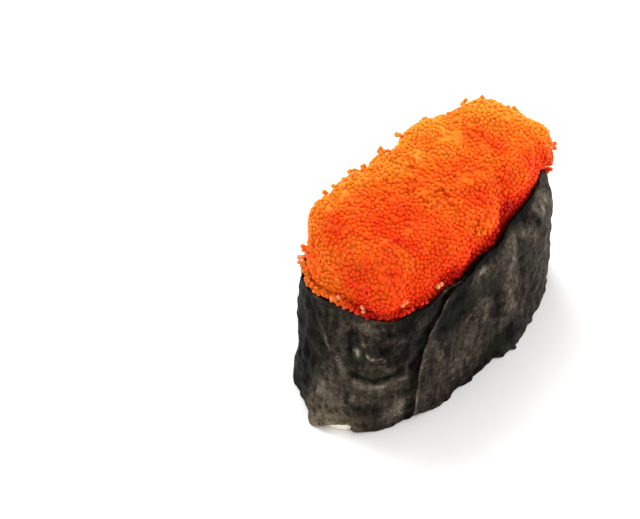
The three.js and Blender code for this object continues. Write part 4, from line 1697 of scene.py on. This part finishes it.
    def spilled(self, rng: np.random.Generator) -> np.ndarray:
        """Eggs that lie on the collar's edge or hang over it.

        Args:
            rng: the random numbers.

        Returns:
            Their places in millimetres.
        """
        places = []
        for spill in self.spills:
            angle = spill.angle + spill.spread * rng.normal(size=spill.eggs).clip(-MOST_OFF, MOST_OFF)
            above = rng.uniform(*spill.above, spill.eggs)
            out = rng.uniform(*spill.out, spill.eggs)
            places.append(self.wall.point(angle, self.wall.height + above, out))
        return np.concatenate(places)

    def clear_of_nori(self, places: np.ndarray) -> np.ndarray:
        """Which eggs don't stick through the nori's upper edge.

        Args:
            places: their middles in millimetres.

        Returns:
            True for each one inside the collar, on its edge or outside it.
        """
        angle = np.arctan2(places[:, 1], places[:, 0])
        face = self.wall.point(angle, np.full_like(angle, self.wall.height), 0.0)
        out = np.sum((places - face)[:, :2] * self.wall.normal(angle, np.ones_like(angle)), axis=-1)
        above = places[:, 2] - self.wall.rim_height(angle)
        inside, outside = out < -self.wall.sheet - self.egg / 2, out > self.egg / 4
        return inside | outside | (above > self.egg / 4) | (self.overhang(angle) > self.hanging)

    def template(self) -> bmesh.types.BMesh:
        """One egg, as a round ball of one millimetre with 32 faces.

        Returns:
            Its mesh, in millimetres round its own middle.
        """
        bm = bmesh.new()
        bmesh.ops.create_uvsphere(bm, u_segments=4, v_segments=2, radius=0.5)
        bmesh.ops.subdivide_edges(bm, edges=bm.edges, cuts=1, use_grid_fill=True)
        bmesh.ops.triangulate(bm, faces=bm.faces)
        for vert in bm.verts:
            vert.co = vert.co.normalized() * 0.5
        return bm

    def shapes(self, sizes: np.ndarray, rng: np.random.Generator) -> np.ndarray:
        """A random turn and a slight squash for each egg.

        Args:
            sizes: the eggs' diameters in millimetres.
            rng: the random numbers.

        Returns:
            A 3 by 3 turn and scale for each.
        """
        spins = rng.random((len(sizes), 3)) * FULL_TURN
        forms = sizes[:, None] * (1 + rng.normal(0, self.squash, (len(sizes), 3)))
        turned = (np.array(Euler(spin).to_matrix()) for spin in spins)
        return np.array([turn_matrix @ np.diag(form) for turn_matrix, form in zip(turned, forms)])

    def low_within(
        self,
        level: np.ndarray,
        fade: tuple[float, float],
        angle: np.ndarray,
        within: tuple[float, float, float],
    ) -> np.ndarray:
        """1 for eggs that lie low on a part of the heap's side, fading to 0 above and beside it.

        Args:
            level: how high they lie, from 0 at the collar to 1 on the ridge.
            fade: the levels between which it fades.
            angle: their directions from the middle.
            within: the part's middle, its reach to either side, and the margin over which it fades.

        Returns:
            One value for each egg.
        """
        centre, reach, margin = within
        return (1 - ease(level, *fade)) * window(turn(angle, centre), reach, margin)

    def tint(self, places: np.ndarray, rng: np.random.Generator) -> np.ndarray:
        """How amber each egg is: paler to the back and left, as painted light coming through from behind, and
        redder, as painted shade, where the heap is deep or shaded.

        Args:
            places: their middles in millimetres.
            rng: the random numbers.

        Returns:
            0 for deep red, 1 for yellow orange.
        """
        across = places[:, 1] / self.wall.rim.half
        along = places[:, 0] / self.wall.rim.back
        level = (places[:, 2] - self.wall.height) / self.rise
        angle = np.arctan2(places[:, 1], places[:, 0])
        hollow_angle, hollow_row, hollow_width = self.hollow
        dent = self.smooth(np.array([hollow_angle]), np.array([hollow_row]))
        # How strongly each place counts, beside what it adds.
        drifts = (
            (self.back_painted_light, ease(across + self.back_slant * along, *self.back_span)),
            (self.far_painted_light, ease(places[:, 0], *self.far_span) * ease(places[:, 1], *self.far_across)),
            (self.near_painted_shade, (1 - ease(level, *self.near_level)) * (1 - ease(across, *self.near_span))),
            (self.rim_painted_shade, self.low_within(level, self.rim_level, angle, self.rim_window)),
            (self.hollow_painted_shadow, bump(np.linalg.norm(places - dent, axis=-1), hollow_width)),
            (self.away_tint, self.low_within(level, self.away_level, angle, self.away_window)),
        )
        tint = self.ground_tint + sum(change * share for change, share in drifts)
        for x, y, reach, change in self.blushes:
            tint = tint + change * bump(np.hypot(places[:, 0] - x, places[:, 1] - y), reach)
        tint = tint + sum(ripple.lumps(places) for ripple in self.patches)
        return np.clip(tint + rng.normal(0, self.egg_tint_spread, len(places)), 0, 1)

    def build(self, finish: bpy.types.Material, pale: bpy.types.Material) -> list[bpy.types.Object]:
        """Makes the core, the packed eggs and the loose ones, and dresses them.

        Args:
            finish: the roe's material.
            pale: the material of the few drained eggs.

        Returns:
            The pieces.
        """
        rng = np.random.default_rng(self.seed)
        outer = self.skin()
        skin = BVHTree.FromBMesh(outer)
        outer.free()
        start = self.scatter(skin, rng)
        radii = self.egg / 2 * (1 + self.size_spread * rng.normal(0, 1, len(start)).clip(-MOST_OFF, MOST_OFF))
        least, more = self.sunk
        sunk = least - self.swell(start) + more * rng.random(len(start))
        packed = self.pack(skin, start, radii, sunk)
        piled = np.concatenate([self.piled(rng), self.spilled(rng)])
        places = np.concatenate([packed, piled])
        spread = self.piled_spread * rng.normal(0, 1, len(piled)).clip(-MOST_OFF, MOST_OFF)
        sizes = np.concatenate([2 * radii, self.egg * (1 + spread)])
        core = mesh_object("roe_core", self.core())
        heart = np.array([vert.co[:] for vert in core.data.vertices]) / MM
        # The core's tint is raised, as painted light glowing in the gaps between the eggs.
        deep = core.data.attributes.new("tint", "FLOAT", "POINT")
        deep.data.foreach_set("value", np.clip(self.tint(heart, rng) + self.core_painted_glow, 0, 1))
        turns, tints = self.shapes(sizes, rng), self.tint(places, rng)
        kept = np.concatenate([self.clear_of_nori(packed), np.ones(len(piled), dtype=bool)])
        eggs = joined_copies("roe_eggs", self.template(), places[kept], turns[kept], tints[kept])
        angles, above, inset = np.array(self.strays).T
        loose = self.wall.point(angles, self.wall.height + above, -inset)
        least, more = self.stray_sizes
        bare = self.egg * (least + more * rng.random(len(loose)))
        shown = rng.random(len(loose))
        strays = joined_copies("roe_stray_eggs", self.template(), loose, self.shapes(bare, rng), shown)
        made = [settle(core, finish, Node.ROE), settle(eggs, finish, Node.ROE)]
        made.append(settle(strays, pale, Node.ROE))
        return made


# --- studio -------------------------------------------------------------------------------


@dataclass(frozen=True)
class Lamp:
    """A square soft lamp that faces the piece: where it stands and its side in metres, and its power."""

    name: str
    place: tuple[float, float, float]
    size: float
    watts: float

    def build(self, target: Vector) -> None:
        """Adds it to the scene, turned to its target.

        Args:
            target: the point that it faces, in metres.
        """
        data = bpy.data.lights.new(self.name, "AREA")
        data.size = self.size
        data.energy = self.watts
        made = bpy.data.objects.new(self.name, data)
        made.location = self.place
        made.rotation_euler = (target - Vector(self.place)).to_track_quat("-Z", "Y").to_euler()
        bpy.context.scene.collection.objects.link(made)


@dataclass
class Studio:
    """A white board under soft lamps, seen from above the piece's front right corner."""

    azimuth: float = rad(-49.8)
    elevation: float = rad(47)
    distance: float = 0.936
    lens: float = 304.6
    # The point looked at, from the middle of the foot: to the right and up in the view.
    aim_right: float = -18.45 * MM
    aim_up: float = 11.87 * MM
    shift_x: float = 0.9 * MM
    sensor: float = 36
    clip: tuple[float, float] = (0.05, 20)
    board_half_mm: float = 3000
    sky_strength: float = 0.85
    lamp_target: tuple[float, float, float] = (0, 0, 0.02)
    lamps: tuple[Lamp, ...] = (
        Lamp("window_lamp", (0.15, 0.55, 0.7), 0.6, 6.0),
        Lamp("side_lamp", (0.5, -0.45, 0.4), 0.4, 2.5),
        Lamp("front_lamp", (-0.5, -0.35, 0.35), 0.12, 0.5),
    )

    def camera(self) -> None:
        """Makes the camera."""
        a, e = self.azimuth, self.elevation
        back = Vector((math.sin(a) * math.cos(e), -math.cos(a) * math.cos(e), math.sin(e)))
        right = Vector((math.cos(a), math.sin(a), 0))
        up = back.cross(right)
        data = bpy.data.cameras.new("camera")
        data.lens = self.lens
        data.sensor_width = self.sensor
        data.clip_start, data.clip_end = self.clip
        made = bpy.data.objects.new("camera", data)
        made.location = back * self.distance + right * self.aim_right + up * self.aim_up
        made.location.x += self.shift_x
        made.rotation_euler = (-back).to_track_quat("-Z", "Y").to_euler()
        bpy.context.scene.collection.objects.link(made)
        bpy.context.scene.camera = made

    def board(self, finish: bpy.types.Material) -> None:
        """Lays the white board.

        Args:
            finish: its material.
        """
        bm = bmesh.new()
        bmesh.ops.create_grid(bm, x_segments=1, y_segments=1, size=self.board_half_mm)
        made = mesh_object("board", bm, smooth=False)
        made.data.materials.append(finish)

    def build(self) -> None:
        """Makes the camera, the board, the lamps and the sky."""
        scene = bpy.context.scene
        scene.view_settings.view_transform = "Standard"
        scene.view_settings.look = "None"
        world = bpy.data.worlds.new("white_room")
        world.use_nodes = True
        sky = world.node_tree.nodes["Background"]
        sky.inputs["Color"].default_value = (1, 1, 1, 1)
        sky.inputs["Strength"].default_value = self.sky_strength
        scene.world = world
        self.camera()
        self.board(PaleBoard().build())
        for lamp in self.lamps:
            lamp.build(Vector(self.lamp_target))


def main() -> None:
    """Builds the studio, then the piece from the inside out."""
    logging.basicConfig(level=logging.INFO, format="%(name)s %(message)s", stream=sys.stdout)
    Studio().build()
    wall = Wall()
    RiceBlock(wall).build(SushiRice().build())
    roe = FishRoe()
    drained = FishRoe("drained_fish_roe", stops=((0.0, "#F07A42"), (1.0, "#F8A270")))
    RoeHeap(wall).build(roe.build(), drained.build())
    NoriWrap(wall).build(DampNori().build())


if __name__ == "__main__":
    main()
